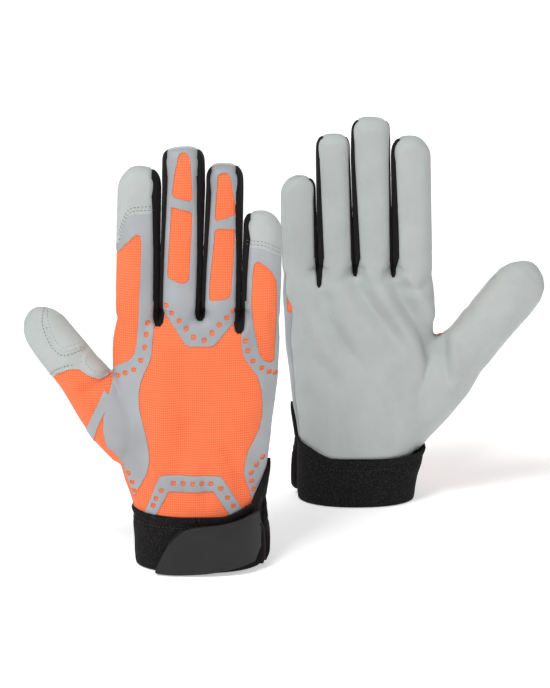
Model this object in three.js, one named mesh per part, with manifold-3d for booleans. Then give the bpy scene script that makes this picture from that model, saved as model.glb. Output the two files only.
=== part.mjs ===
// A pair of knit-and-leather work gloves standing on their cuffs, in millimetres, +Z up.
// Each glove is sewn from separate panels; each panel here is its own closed solid.
import * as THREE from "three";
import { mergeVertices } from "three/addons/utils/BufferGeometryUtils.js";
import Module from "manifold-3d";

const wasm = await Module();
wasm.setup();
const { Manifold, Mesh } = wasm;

// ---- driving dimensions ---------------------------------------------------------------
const WALL = 1.6; // knit or leather, with its lining
const CUFF_WALL = 2.4; // doubled elastic
const CUFF_TOP = 34;
const HAND_TOP = 144.5; // level of the finger crotches
const SEAM_GAP = 0.4; // between two panels of one glove
const LAYER_GAP = 0.3; // between a panel and what lies on it
const FILM = 0.9; // printed reflective film
const ROUNDNESS = 2.6; // exponent of the hand's oval
const FINGER_ROUNDNESS = 3.2;
const HINGE_RISE = 10; // knuckle axis above the crotch
const THUMB_HINGE = 10.4; // along the thumb from its base
const BODY_SIDES = 20;
const FINGER_SIDES = 16;
const SIDE_BAND = 5.2; // half depth of the fourchette strip
const PAIR_DEPTH = 110; // rear glove's distance behind the front one
const FRONT_X = -46.1;
const REAR_X = 46.1;

// Hand and cuff: height, thumb side x, little finger side x, half depth.
const BODY_LEVELS = [
  [0, -37.0, 37.0, 22.5],
  [6, -37.5, 37.5, 23.0],
  [34, -37.5, 36.6, 21.5],
  [46, -40.0, 37.5, 20.5],
  [60, -42.5, 39.0, 19.6],
  [76, -44.5, 40.6, 19.0],
  [96, -45.0, 42.6, 18.5],
  [116, -45.5, 44.2, 17.5],
  [130, -45.8, 45.4, 16.2],
  [HAND_TOP, -45.6, 46.2, 13.6],
];

// Fingers: name, centre x, half width, half depth, tip height, height of the leather cap.
const FINGERS = [
  { name: "index", x: -32.5, wide: 12.6, deep: 9.9, tip: 228.5, cap: 204.5, open: -1 },
  { name: "middle", x: -7.8, wide: 11.2, deep: 10.2, tip: 240, cap: 0, open: 0 },
  { name: "ring", x: 14.3, wide: 10.0, deep: 9.9, tip: 230.5, cap: 0, open: 0 },
  { name: "little", x: 35.6, wide: 10.3, deep: 9.5, tip: 205, cap: 185, open: 1 },
];

// Thumbs: base on the hand's side, direction in the x-z plane, bend towards the palm at rest,
// stations of the thumb's root in the hand and of the thumb itself along that direction.
const THUMBS = {
  front: {
    base: [-60.6, 103.5],
    lean: Math.atan2(0.635, 0.772),
    bend: Math.PI / 9,
    root: [
      [-45, -17, 17, 13.0],
      [-22, -16, 16, 15.8],
      [0, -15.2, 15.2, 15.4],
    ],
    levels: [
      [0.4, -15.0, 15.0, 14.2],
      [21, -14.1, 14.1, 13.4],
      [36, -12.8, 12.8, 12.0],
      [45, -10.8, 10.8, 9.8],
      [50.5, -7.0, 7.0, 6.4],
      [53.5, -2.0, 2.0, 2.0],
    ],
    cap: 31,
  },
  rear: {
    base: [-66.75, 96.4],
    lean: Math.atan2(0.61, 0.79),
    bend: 0,
    root: [
      [-56, -15, 6, 9.0],
      [-38, -19.5, 12, 14.5],
      [-12, -18.7, 16, 16.0],
      [0, -17.6, 17.2, 15.6],
    ],
    levels: [
      [0.4, -17.4, 16.6, 14.2],
      [22, -17.6, 15.4, 13.8],
      [42, -16.6, 14.6, 12.4],
      [53, -13.4, 11.6, 10.2],
      [60, -8.2, 7.2, 6.6],
      [63, -2.6, 2.4, 2.2],
    ],
    cap: 39,
  },
};

// Outlines of what lies on the back of the hand and the cuff, as x-z corners.
const THUMB_SIDE_FILM = [
  [-24.5, 141], [-25.5, 126], [-28.2, 119.6], [-31.4, 113.8], [-33.3, 104], [-33, 95],
  [-28.7, 77], [-27.7, 66.7], [-29, 58.6], [-36, 44.8], [-41, 55.6], [-43, 61.7],
  [-47.6, 68.8], [-52.5, 74], [-53.4, 88], [-51.3, 100], [-47.7, 110], [-46.4, 118],
  [-37.5, 123.6], [-34.5, 127.6], [-32.8, 141],
];
const KNUCKLE_FILM = [[-17.5, 142], [-5.5, 131.6], [8.1, 131.6], [18.5, 142]];
const ULNAR_FILM = [
  [23.8, 139], [24.1, 129], [27.6, 121.7], [32.5, 114.5], [35.2, 103], [35.2, 93],
  [33.4, 82.5], [27.4, 71], [25.3, 61.5], [25, 57], [29, 42.5], [33, 44], [33.4, 68],
  [40, 74], [47, 80], [49, 112], [34, 125.3], [30, 139],
];
const WRIST_FILM = [
  [-30.1, 37.8], [-23.4, 54.3], [-20, 57.8], [12.2, 57.5], [23.1, 39.1], [15.4, 36.9],
  [7.9, 48.2], [-17.1, 48.2], [-24, 36],
];
const STRAP = [
  [-25, 1.2], [33.2, 6], [33.2, 33.4], [10.2, 31], [-5.7, 28.8], [-11.9, 24.9], [-18.8, 16.5],
];
const HOOK_PATCH = [[-20.5, 4], [-2, 4.5], [-2, 25.5], [-9, 22.5], [-16, 13.5]];
const LOOP_PATCH = [[-27, 3], [4, 3], [4, 29.5], [-27, 29.5]];
const VENT_TOP = 67;
const VENT_HALF = 4.4;

// ---- materials ------------------------------------------------------------------------
function material(color, roughness) {
  return new THREE.MeshStandardMaterial({ color, roughness, metalness: 0 });
}
const ORANGE_KNIT = 0xf8764a;
const GREY_LEATHER = 0xb9bfbd;
const BLACK_KNIT = 0x1b1818;
const REFLECTIVE = 0xa9acb0;
const BLACK_ELASTIC = 0x26242a;
const STRAP_SKIN = 0x2b2b2c;
const HOOK_TAPE = 0x3a3a3c;

// ---- solids ---------------------------------------------------------------------------
function loft(levels, sides, roundness) {
  const points = [];
  for (const [z, left, right, deep] of levels) {
    const half = (right - left) / 2;
    for (let k = 0; k < sides; k++) {
      const angle = ((k + 0.5) / sides) * 2 * Math.PI;
      const c = Math.cos(angle);
      const s = Math.sin(angle);
      const x = Math.sign(c) * Math.abs(c) ** (2 / roundness);
      const y = Math.sign(s) * Math.abs(s) ** (2 / roundness);
      points.push((left + right) / 2 + half * x, deep * y, z);
    }
  }
  const faces = [];
  const last = (levels.length - 1) * sides;
  for (let i = 0; i < levels.length - 1; i++) {
    for (let k = 0; k < sides; k++) {
      const a = i * sides + k;
      const b = i * sides + ((k + 1) % sides);
      faces.push(a, b, b + sides, a, b + sides, a + sides);
    }
  }
  for (let k = 1; k < sides - 1; k++) {
    faces.push(0, k + 1, k);
    faces.push(last, last + k, last + k + 1);
  }
  const geometry = new THREE.BufferGeometry();
  geometry.setAttribute("position", new THREE.Float32BufferAttribute(points, 3));
  geometry.setIndex(faces);
  return geometry;
}

function solid(geometry) {
  const plain = geometry.index ? geometry.toNonIndexed() : geometry.clone();
  const bare = new THREE.BufferGeometry();
  bare.setAttribute("position", plain.getAttribute("position"));
  const merged = mergeVertices(bare, 1e-4);
  const vertProperties = new Float32Array(merged.attributes.position.array);
  const triVerts = new Uint32Array(merged.index.array);
  return new Manifold(new Mesh({ numProp: 3, vertProperties, triVerts }));
}

function geometryOf(manifold) {
  const mesh = manifold.getMesh();
  const geometry = new THREE.BufferGeometry();
  geometry.setAttribute("position", new THREE.BufferAttribute(mesh.vertProperties, 3));
  geometry.setIndex([...mesh.triVerts]);
  return geometry;
}

function grown(levels, by) {
  return levels.map(([z, left, right, deep]) => [z, left - by, right + by, deep + by]);
}

function box(x0, x1, y0, y1, z0, z1) {
  const geometry = new THREE.BoxGeometry(x1 - x0, y1 - y0, z1 - z0);
  geometry.translate((x0 + x1) / 2, (y0 + y1) / 2, (z0 + z1) / 2);
  return solid(geometry);
}

// A prism through the back of the hand from an outline in x and z.
function prism(outline) {
  const shape = new THREE.Shape(outline.map(([x, z]) => new THREE.Vector2(x, z)));
  const geometry = new THREE.ExtrudeGeometry(shape, { depth: 45, bevelEnabled: false });
  geometry.rotateX(Math.PI / 2);
  return solid(geometry);
}

// From the thumb's own frame, +Z along it, to the glove's.
function leaned(geometry, thumb) {
  geometry.rotateY(-thumb.lean);
  geometry.translate(thumb.base[0], 0, thumb.base[1]);
  return geometry;
}

// The thumb at rest, turned towards the palm about its hinge.
function bent(geometry, thumb) {
  geometry.translate(0, 0, -THUMB_HINGE);
  geometry.rotateX(-thumb.bend);
  geometry.translate(0, 0, THUMB_HINGE);
  return leaned(geometry, thumb);
}

function bodySolid(by, thumb) {
  const trunk = solid(loft(grown(BODY_LEVELS, by), BODY_SIDES, ROUNDNESS));
  const root = solid(leaned(loft(grown(thumb.root, by), FINGER_SIDES, ROUNDNESS), thumb));
  return trunk.add(root);
}

// The hollow inside the hand, run past its open ends.
function handHollow(thumb) {
  const trunk = grown(BODY_LEVELS, -WALL);
  trunk.unshift([-5, ...trunk[0].slice(1)]);
  trunk.push([HAND_TOP + 5, ...trunk[trunk.length - 1].slice(1)]);
  const root = grown(thumb.root, -WALL);
  root.push([5, ...root[root.length - 1].slice(1)]);
  const passage = solid(leaned(loft(root, FINGER_SIDES, ROUNDNESS), thumb));
  return solid(loft(trunk, BODY_SIDES, ROUNDNESS)).add(passage);
}

// Room for the bases of the fingers and thumb to swing in.
function knuckleRoom(thumb) {
  const fingers = new THREE.CylinderGeometry(14.9, 14.9, 110, 24);
  fingers.rotateZ(Math.PI / 2);
  fingers.translate(0, 0, HAND_TOP + 0.5 + HINGE_RISE);
  const base = new THREE.CylinderGeometry(17.9, 17.9, 44, 24);
  base.rotateZ(Math.PI / 2);
  base.translate(0, 0, THUMB_HINGE);
  return solid(fingers).add(solid(leaned(base, thumb)));
}

function layer(from, to, outline, thumb) {
  return bodySolid(to, thumb).subtract(bodySolid(from, thumb)).intersect(prism(outline));
}

// ---- pieces of one glove --------------------------------------------------------------
function handPieces(thumb) {
  const hand = box(-120, 60, -40, 40, CUFF_TOP + SEAM_GAP, 160);
  const room = knuckleRoom(thumb);
  const whole = bodySolid(0, thumb).intersect(hand);
  const shell = whole.subtract(handHollow(thumb)).subtract(room);
  const back = shell.intersect(box(-120, 60, -40, -SEAM_GAP / 2, 0, 160));
  const palm = shell.intersect(box(-120, 60, SEAM_GAP / 2, 40, 0, 160));
  const film = (outline) => layer(LAYER_GAP, LAYER_GAP + FILM, outline, thumb);
  return [
    ["back_panel", back, ORANGE_KNIT, 0.95],
    ["palm_panel", palm, GREY_LEATHER, 0.75],
    ["thumb_side_film", film(THUMB_SIDE_FILM).subtract(room), REFLECTIVE, 0.5],
    ["knuckle_film", film(KNUCKLE_FILM).subtract(room), REFLECTIVE, 0.5],
    ["ulnar_film", film(ULNAR_FILM).subtract(room), REFLECTIVE, 0.5],
    ["wrist_film", film(WRIST_FILM), REFLECTIVE, 0.5],
  ];
}

function cuffPieces(thumb) {
  const outer = solid(loft(BODY_LEVELS, BODY_SIDES, ROUNDNESS));
  const hollow = grown(BODY_LEVELS, -CUFF_WALL);
  hollow.unshift([-5, ...hollow[0].slice(1)]);
  const cuff = outer
    .subtract(solid(loft(hollow, BODY_SIDES, ROUNDNESS)))
    .intersect(box(-60, 60, -40, 40, 0, CUFF_TOP));
  const vent = bodySolid(LAYER_GAP + 2, thumb)
    .subtract(bodySolid(LAYER_GAP, thumb))
    .intersect(box(30, 60, -VENT_HALF, VENT_HALF, 0.6, VENT_TOP));
  return [
    ["cuff_band", cuff, BLACK_ELASTIC, 0.95],
    ["vent_binding", vent, BLACK_KNIT, 0.9],
    ["cuff_loop_patch", layer(0.3, 1.2, LOOP_PATCH, thumb), HOOK_TAPE, 0.95],
    ["strap_hook_patch", layer(1.5, 2.4, HOOK_PATCH, thumb), HOOK_TAPE, 0.9],
    ["strap_tab", layer(2.7, 4.5, STRAP, thumb), STRAP_SKIN, 0.7],
  ];
}

function fingerLevels(finger, by) {
  const levels = [];
  const base = HAND_TOP + 0.5;
  const round = finger.wide;
  for (const part of [0, 0.5, 1]) {
    const z = base + part * (finger.tip - round - base);
    levels.push([z, finger.x - finger.wide - by, finger.x + finger.wide + by, finger.deep + by]);
  }
  for (const turn of [30, 55, 75]) {
    const angle = (turn * Math.PI) / 180;
    const shrink = Math.cos(angle) ** 0.75;
    const wide = (finger.wide + by) * shrink;
    const z = finger.tip - round + (round + by) * Math.sin(angle);
    levels.push([z, finger.x - wide, finger.x + wide, (finger.deep + by) * shrink]);
  }
  return levels;
}

function fingerPieces(finger) {
  const outer = solid(loft(fingerLevels(finger, 0), FINGER_SIDES, FINGER_ROUNDNESS));
  const inner = fingerLevels(finger, -WALL);
  inner.unshift([100, ...inner[0].slice(1)]);
  const shell = outer.subtract(solid(loft(inner, FINGER_SIDES, FINGER_ROUNDNESS)));
  // The outer side of the index and little fingers has no fourchette.
  const band = SIDE_BAND;
  const gap = SEAM_GAP;
  const backCut = box(-60, 60, -30, -band - gap, 0, 300);
  const frontCut = box(-60, 60, band + gap, 30, 0, 300);
  let bandCut = box(-60, 60, -band, band, 0, 300);
  let back = shell.intersect(backCut);
  let front = shell.intersect(frontCut);
  if (finger.open !== 0) {
    const edge = finger.x + finger.open * finger.wide * 0.35;
    const low = finger.open < 0 ? -60 : edge;
    const high = finger.open < 0 ? edge : 60;
    bandCut = bandCut.subtract(box(low - gap, high + gap, -30, 30, 0, 300));
    back = shell.intersect(backCut.add(box(low, high, -30, -gap / 2, 0, 300)));
    front = shell.intersect(frontCut.add(box(low, high, gap / 2, 30, 0, 300)));
  }
  const pieces = [
    [`${finger.name}_front`, front, GREY_LEATHER, 0.75],
    [`${finger.name}_fourchette`, shell.intersect(bandCut), BLACK_KNIT, 0.95],
  ];
  if (finger.cap > 0) {
    const above = box(-60, 60, -30, 30, finger.cap + gap, 300);
    const below = box(-60, 60, -30, 30, 0, finger.cap);
    pieces.push([`${finger.name}_tip_cap`, back.intersect(above), GREY_LEATHER, 0.75]);
    back = back.intersect(below);
  }
  pieces.push([`${finger.name}_back`, back, ORANGE_KNIT, 0.95]);
  return pieces;
}

function thumbPieces(thumb) {
  const outer = solid(loft(thumb.levels, FINGER_SIDES, ROUNDNESS));
  const inner = grown(thumb.levels.slice(0, -1), -WALL);
  inner.unshift([-10, ...inner[0].slice(1)]);
  const shell = outer.subtract(solid(loft(inner, FINGER_SIDES, ROUNDNESS)));
  const back = box(-40, 40, -30, -SEAM_GAP / 2, -5, thumb.cap);
  const cap = box(-40, 40, -30, -SEAM_GAP / 2, thumb.cap + SEAM_GAP, 80);
  const front = box(-40, 40, SEAM_GAP / 2, 30, -5, 80);
  return [
    ["thumb_back", shell.intersect(back), ORANGE_KNIT, 0.95],
    ["thumb_cap", shell.intersect(cap), GREY_LEATHER, 0.75],
    ["thumb_front", shell.intersect(front), GREY_LEATHER, 0.75],
  ];
}

function add(group, prefix, [name, manifold, color, roughness], thumb) {
  const geometry = geometryOf(manifold);
  if (thumb) bent(geometry, thumb);
  const mesh = new THREE.Mesh(geometry, material(color, roughness));
  mesh.name = `${prefix}_${name}`;
  group.add(mesh);
}

function glove(prefix) {
  const thumb = THUMBS[prefix];
  const group = new THREE.Group();
  group.name = `${prefix}_glove`;
  for (const piece of handPieces(thumb)) add(group, prefix, piece);
  for (const piece of cuffPieces(thumb)) add(group, prefix, piece);
  for (const finger of FINGERS) {
    for (const piece of fingerPieces(finger)) add(group, prefix, piece);
  }
  for (const piece of thumbPieces(thumb)) add(group, prefix, piece, thumb);
  return group;
}

// ---- the pair -------------------------------------------------------------------------
const front = glove("front");
front.position.set(FRONT_X, -PAIR_DEPTH / 2, 0);

const rear = glove("rear");
rear.rotation.z = Math.PI;
rear.position.set(REAR_X, PAIR_DEPTH / 2, 0);

const pair = new THREE.Group();
pair.name = "work_gloves";
pair.add(front, rear);
pair.updateMatrixWorld(true);
const bounds = new THREE.Box3().setFromObject(pair, true);
const middle = bounds.getCenter(new THREE.Vector3());
pair.position.set(-middle.x, -middle.y, -bounds.min.z);

export default pair;
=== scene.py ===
# %% [markdown]
# # A pair of knit-and-leather work gloves
# Work gloves of this kind have a stretch-knit back, a goat-leather palm and black knit strips between
# the fingers. Bands of silver reflective film are heat-pressed on the back. This notebook models the
# two gloves standing on their cuffs, sewn panel by sewn panel, around the rigid frame of the part.

# %% The frame
import math

import bmesh
import bpy
from mathutils import Matrix, Vector, noise
from mathutils.bvhtree import BVHTree
from mathutils.kdtree import KDTree


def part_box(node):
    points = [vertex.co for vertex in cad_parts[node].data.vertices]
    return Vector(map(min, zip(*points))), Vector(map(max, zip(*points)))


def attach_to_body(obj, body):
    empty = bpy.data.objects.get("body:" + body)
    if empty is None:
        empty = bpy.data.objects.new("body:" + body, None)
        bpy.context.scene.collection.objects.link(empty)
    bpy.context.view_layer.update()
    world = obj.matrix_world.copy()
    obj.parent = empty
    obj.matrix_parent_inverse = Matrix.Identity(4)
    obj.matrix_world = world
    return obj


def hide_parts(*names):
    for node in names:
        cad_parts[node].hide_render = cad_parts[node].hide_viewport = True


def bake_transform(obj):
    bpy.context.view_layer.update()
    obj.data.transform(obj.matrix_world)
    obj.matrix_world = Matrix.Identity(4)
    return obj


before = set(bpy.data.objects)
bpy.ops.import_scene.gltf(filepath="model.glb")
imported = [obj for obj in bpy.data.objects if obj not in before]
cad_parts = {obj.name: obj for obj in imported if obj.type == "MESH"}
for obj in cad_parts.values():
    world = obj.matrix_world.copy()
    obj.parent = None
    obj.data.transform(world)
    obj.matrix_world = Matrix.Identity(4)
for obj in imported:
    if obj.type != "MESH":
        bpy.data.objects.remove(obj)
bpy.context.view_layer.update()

# %% [markdown]
# The shapes are drawn in millimetres in each glove's own space: x runs from the thumb side to the
# little finger, y from the back of the hand to the palm, z up along the fingers. One matrix per glove
# takes that space to the frame in metres, so a piece is finished in place with its object unmoved.

# %% Each glove's place
MM = 0.001


def glove_place(cuff_node, turned):
    low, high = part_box(cuff_node)
    centre = (Vector(low) + Vector(high)) / 2
    turn = Matrix.Rotation(math.pi if turned else 0.0, 4, "Z")
    scale = Matrix.Diagonal((MM, MM, MM, 1))
    return Matrix.Translation((centre.x, centre.y, 0)) @ turn @ scale


PLACES = {
    "front": glove_place("front_cuff_band", False),
    "rear": glove_place("rear_cuff_band", True),
}
for name, place in PLACES.items():
    print(name, "glove stands at", [round(c, 4) for c in place.translation])

# %% [markdown]
# The camera looks slightly down at the pair from in front, with a long lens, as for a catalogue. The
# floor and the light are plain: a pale sweep that glows as painted light, brighter away from the middle,
# one key light, three weak lights and a bright even world.

# %% Camera, floor and light
scene = bpy.context.scene


def srgb(code):
    """An sRGB hex value as linear red, green, blue and alpha."""
    values = [int(code[i : i + 2], 16) / 255 for i in (1, 3, 5)]
    return [v / 12.92 if v < 0.04045 else ((v + 0.055) / 1.055) ** 2.4 for v in values] + [1]


camera = bpy.data.objects.new("camera", bpy.data.cameras.new("camera"))
camera.data.lens = 103.55
camera.data.sensor_width = 36
camera.data.clip_end = 30
camera.location = (-0.0101, -1.125, 0.415)
camera.rotation_euler = (math.radians(90 - 14.976), 0, 0)
scene.collection.objects.link(camera)
scene.camera = camera


def area_light(name, place, target, size, power):
    light = bpy.data.objects.new(name, bpy.data.lights.new(name, "AREA"))
    light.data.size = size
    light.data.energy = power
    light.location = place
    aim = Vector(target) - Vector(place)
    light.rotation_euler = aim.to_track_quat("-Z", "Y").to_euler()
    scene.collection.objects.link(light)


area_light("key", (-0.55, -0.75, 1.8), (0, 0, 0.12), 0.6, 22)
area_light("side", (-1.4, -1.0, 1.2), (0, 0, 0.12), 1.2, 3)
area_light("fill", (1.3, -1.2, 0.8), (0, 0, 0.12), 1.0, 2)
area_light("rim", (0.3, 1.5, 1.2), (0, 0, 0.12), 1.0, 2)
world = bpy.data.worlds.new("studio")
world.use_nodes = True
world.node_tree.nodes["Background"].inputs["Color"].default_value = (1, 1, 1, 1)
world.node_tree.nodes["Background"].inputs["Strength"].default_value = 0.36
scene.world = world
scene.view_settings.view_transform = "Standard"

# %% [markdown]
# One small function adds a shader node with its settings and links. An input is named by its socket,
# or by its number after an i where two sockets share a name.

# %% Node helper


def node(tree, kind, settings=None, **inputs):
    made = tree.nodes.new(kind)
    for key, value in (settings or {}).items():
        setattr(made, key, value)
    for name, value in inputs.items():
        numbered = name[0] == "i" and name[1:].isdigit()
        socket = made.inputs[int(name[1:])] if numbered else made.inputs[name.replace("_", " ")]
        if isinstance(value, bpy.types.NodeSocket):
            tree.links.new(value, socket)
        else:
            socket.default_value = value
    return made


def new_material(name):
    material = bpy.data.materials.new(name)
    material.use_nodes = True
    tree = material.node_tree
    shader = tree.nodes["Principled BSDF"]
    return material, tree, shader


def cloth_coordinates(tree):
    """Where a point of the cloth was when it was cut, in millimetres, so patterns bend with it."""
    return node(tree, "ShaderNodeAttribute", {"attribute_name": "cloth_mm"}).outputs["Vector"]


def blend_colours(tree, factor, low, high):
    mixed = node(tree, "ShaderNodeMix", {"data_type": "RGBA"}, i0=factor, i6=low, i7=high)
    return mixed.outputs[2]


def ramp(tree, value, low, high):
    return node(tree, "ShaderNodeMapRange", None, Value=value, From_Min=low, From_Max=high).outputs[0]


def wave(tree, coordinate, pitch):
    """A smooth ridge every pitch millimetres, from 0 to 1."""
    turn = node(tree, "ShaderNodeMath", {"operation": "MULTIPLY"}, i0=coordinate, i1=2 * math.pi / pitch)
    sine = node(tree, "ShaderNodeMath", {"operation": "SINE"}, i0=turn.outputs[0])
    return ramp(tree, sine.outputs[0], -1.0, 1.0)


def bump(tree, height, strength, distance):
    made = node(tree, "ShaderNodeBump", None, Strength=strength, Distance=distance * MM, Height=height)
    return made.outputs[0]


print("shader helpers ready")

# %% [markdown]
# ** Orange knit.** A warp-stretch polyester knit in fluorescent orange. Its courses make a fine
# horizontal rib, 1.4 mm apart, and its wales a fainter vertical one. The low side of a rib is painted
# deeper orange as shade and its crest lighter as highlight, with a broad noise in the tone. The yarn is matt
# with a little sheen.

# %% Knit materials


def knit_material(name, light, deep, course, wale, sheen, across="Z", along="X"):
    material, tree, shader = new_material(name)
    cloth = cloth_coordinates(tree)
    wander = node(tree, "ShaderNodeTexNoise", None, Vector=cloth, Scale=0.05, Detail=1.0)
    shift = node(tree, "ShaderNodeVectorMath", {"operation": "SCALE"}, i0=wander.outputs["Color"], Scale=1.4)
    moved = node(tree, "ShaderNodeVectorMath", {"operation": "ADD"}, i0=cloth, i1=shift.outputs[0])
    axes = node(tree, "ShaderNodeSeparateXYZ", None, Vector=moved.outputs[0]).outputs
    courses = wave(tree, axes[across], course)
    wales = wave(tree, axes[along], wale)
    grid = node(tree, "ShaderNodeMath", {"operation": "MULTIPLY"}, i0=wales, i1=0.8)
    height = node(tree, "ShaderNodeMath", {"operation": "ADD"}, i0=courses, i1=grid.outputs[0])
    fold = node(tree, "ShaderNodeTexNoise", None, Vector=cloth, Scale=0.035, Detail=2.0)
    broad_noise = node(tree, "ShaderNodeMath", {"operation": "MULTIPLY"}, i0=fold.outputs["Fac"], i1=0.5)
    total = node(tree, "ShaderNodeMath", {"operation": "ADD"}, i0=height.outputs[0], i1=broad_noise.outputs[0])
    # Painted shade and highlight: the colour runs from the deeper colour in the rib grooves to the lighter
    # one on the crests, with the broad noise mixed in.
    colour = blend_colours(tree, ramp(tree, total.outputs[0], 0.3, 1.5), srgb(deep), srgb(light))
    tree.links.new(colour, shader.inputs["Base Color"])
    tree.links.new(bump(tree, height.outputs[0], 0.45, 0.22), shader.inputs["Normal"])
    shader.inputs["Roughness"].default_value = 0.92
    shader.inputs["Specular IOR Level"].default_value = 0.2
    shader.inputs["Sheen Weight"].default_value = sheen
    shader.inputs["Sheen Roughness"].default_value = 0.5
    return material


# For each knit, the lighter colour is the painted highlight on the rib crests and the deeper one is the
# painted shade in the grooves.
orange_knit = knit_material("orange_stretch_knit", "#ff8558", "#f06236", 1.4, 1.15, 0.1)
black_knit = knit_material("black_stretch_knit", "#1d1718", "#0a0707", 1.6, 0.9, 0.05, "X", "Z")
print("knits:", orange_knit.name, black_knit.name)

# %% [markdown]
# **Cuff elastic.** A doubled elastic band in charcoal yarn. It is knitted in fine vertical ribs, and a
# few pale fibres show in it as a heather.

# %% Elastic material


def elastic_material(name):
    material, tree, shader = new_material(name)
    cloth = cloth_coordinates(tree)
    axes = node(tree, "ShaderNodeSeparateXYZ", None, Vector=cloth).outputs
    courses = wave(tree, axes["Z"], 0.9)
    flecks = node(tree, "ShaderNodeTexNoise", None, Vector=cloth, Scale=1.1, Detail=3.0, Roughness=0.7)
    speck = ramp(tree, flecks.outputs["Fac"], 0.48, 0.72)
    colour = blend_colours(tree, speck, srgb("#161415"), srgb("#363537"))
    tree.links.new(colour, shader.inputs["Base Color"])
    height = node(tree, "ShaderNodeMath", {"operation": "MULTIPLY_ADD"}, i0=courses, i1=0.4, i2=speck)
    tree.links.new(bump(tree, height.outputs[0], 0.5, 0.3), shader.inputs["Normal"])
    shader.inputs["Roughness"].default_value = 0.95
    shader.inputs["Specular IOR Level"].default_value = 0.15
    return material


cuff_elastic = elastic_material("black_cuff_elastic")
print("elastic:", cuff_elastic.name)

# %% [markdown]
# **Goat leather.** Chrome-tanned grain leather in pale grey, 0.8 mm thick. Its grain is a net of fine
# cells about 0.9 mm wide, with soft creases over it and a few darker pores. The finish is matt.

# %% Leather materials


def leather_material(name, light, dark, cell, roughness, grain, pores):
    material, tree, shader = new_material(name)
    cloth = cloth_coordinates(tree)
    soft = node(tree, "ShaderNodeTexNoise", None, Vector=cloth, Scale=0.06, Detail=4.0, Roughness=0.6)
    cells = node(tree, "ShaderNodeTexVoronoi", {"feature": "DISTANCE_TO_EDGE"}, Vector=cloth, Scale=1 / cell)
    pebble = ramp(tree, cells.outputs["Distance"], 0.0, 0.35)
    crease = node(tree, "ShaderNodeTexNoise", None, Vector=cloth, Scale=0.22, Detail=5.0, Roughness=0.65)
    colour = blend_colours(tree, ramp(tree, soft.outputs["Fac"], 0.3, 0.7), srgb(dark), srgb(light))
    spots = node(tree, "ShaderNodeTexVoronoi", None, Vector=cloth, Scale=0.075)
    pore = ramp(tree, spots.outputs["Distance"], 0.01, 0.04)
    pored = blend_colours(tree, pore, srgb(pores), colour)
    tree.links.new(pored, shader.inputs["Base Color"])
    creases = crease.outputs["Fac"]
    height = node(tree, "ShaderNodeMath", {"operation": "MULTIPLY_ADD"}, i0=creases, i1=2.2, i2=pebble)
    tree.links.new(bump(tree, height.outputs[0], grain, 0.22), shader.inputs["Normal"])
    shader.inputs["Roughness"].default_value = roughness
    shader.inputs["Specular IOR Level"].default_value = 0.35
    return material


goat_leather = leather_material("grey_goat_leather", "#babfbd", "#b2b7b5", 0.9, 0.62, 0.35, "#9a9f9d")
strap_leather = leather_material("black_coated_strap", "#1e1e1f", "#18181a", 0.5, 0.5, 0.25, "#121213")
print("leathers:", goat_leather.name, strap_leather.name)

# %% [markdown]
# **Reflective film.** A heat-pressed film of glass beads in a silver-grey binder. By day it is a flat
# grey with a faint metallic lift where it turns to the light.

# %% Film, thread and tape


def film_material(name):
    material, tree, shader = new_material(name)
    cloth = cloth_coordinates(tree)
    cloud = node(tree, "ShaderNodeTexNoise", None, Vector=cloth, Scale=0.03, Detail=2.0)
    beads = node(tree, "ShaderNodeTexNoise", None, Vector=cloth, Scale=2.5, Detail=1.0)
    colour = blend_colours(tree, ramp(tree, cloud.outputs["Fac"], 0.3, 0.7), srgb("#989a9e"), srgb("#adb0b4"))
    tree.links.new(colour, shader.inputs["Base Color"])
    tree.links.new(bump(tree, beads.outputs["Fac"], 0.15, 0.1), shader.inputs["Normal"])
    shader.inputs["Metallic"].default_value = 0.15
    shader.inputs["Roughness"].default_value = 0.62
    return material


def plain_material(name, colour, roughness, fleck=0.15):
    material, tree, shader = new_material(name)
    cloth = cloth_coordinates(tree)
    spun = node(tree, "ShaderNodeTexNoise", None, Vector=cloth, Scale=1.4, Detail=2.0)
    lighter = [min(1.0, c * (1 + fleck)) for c in srgb(colour)]
    shade = blend_colours(tree, spun.outputs["Fac"], srgb(colour), lighter)
    tree.links.new(shade, shader.inputs["Base Color"])
    tree.links.new(bump(tree, spun.outputs["Fac"], 0.4, 0.2), shader.inputs["Normal"])
    shader.inputs["Roughness"].default_value = roughness
    return material


silver_film = film_material("silver_reflective_film")
grey_thread = plain_material("grey_polyester_thread", "#6f7473", 0.8)
black_thread = plain_material("black_polyester_thread", "#2b2a2a", 0.8)
hook_tape = plain_material("black_hook_tape", "#141415", 0.9, 0.6)
glowing_floor, floor_tree, floor_shader = new_material("self_lit_table")
floor_shader.inputs["Base Color"].default_value = srgb("#f6f6f6")
floor_shader.inputs["Roughness"].default_value = 0.9
floor_shader.inputs["Specular IOR Level"].default_value = 0.0
# The floor glows as painted light. The glow keeps it white, thins the shadows on it and lights the gloves
# from below.
floor_shader.inputs["Emission Color"].default_value = (1, 1, 1, 1)
centre = node(floor_tree, "ShaderNodeTexCoord").outputs["Object"]
away = node(floor_tree, "ShaderNodeVectorMath", {"operation": "LENGTH"}, i0=centre)
NEAR, FAR = 0.5, 1.6  # metres from the middle, between which the floor's own light rises
glow = node(
    floor_tree, "ShaderNodeMapRange", None, Value=away.outputs["Value"],
    From_Min=NEAR, From_Max=FAR, To_Min=0.44, To_Max=0.74,
)
floor_tree.links.new(glow.outputs[0], floor_shader.inputs["Emission Strength"])
print("film, threads and tape ready")

# %% [markdown]
# The floor is one large grid, big enough that the lens never sees its edge.

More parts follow.
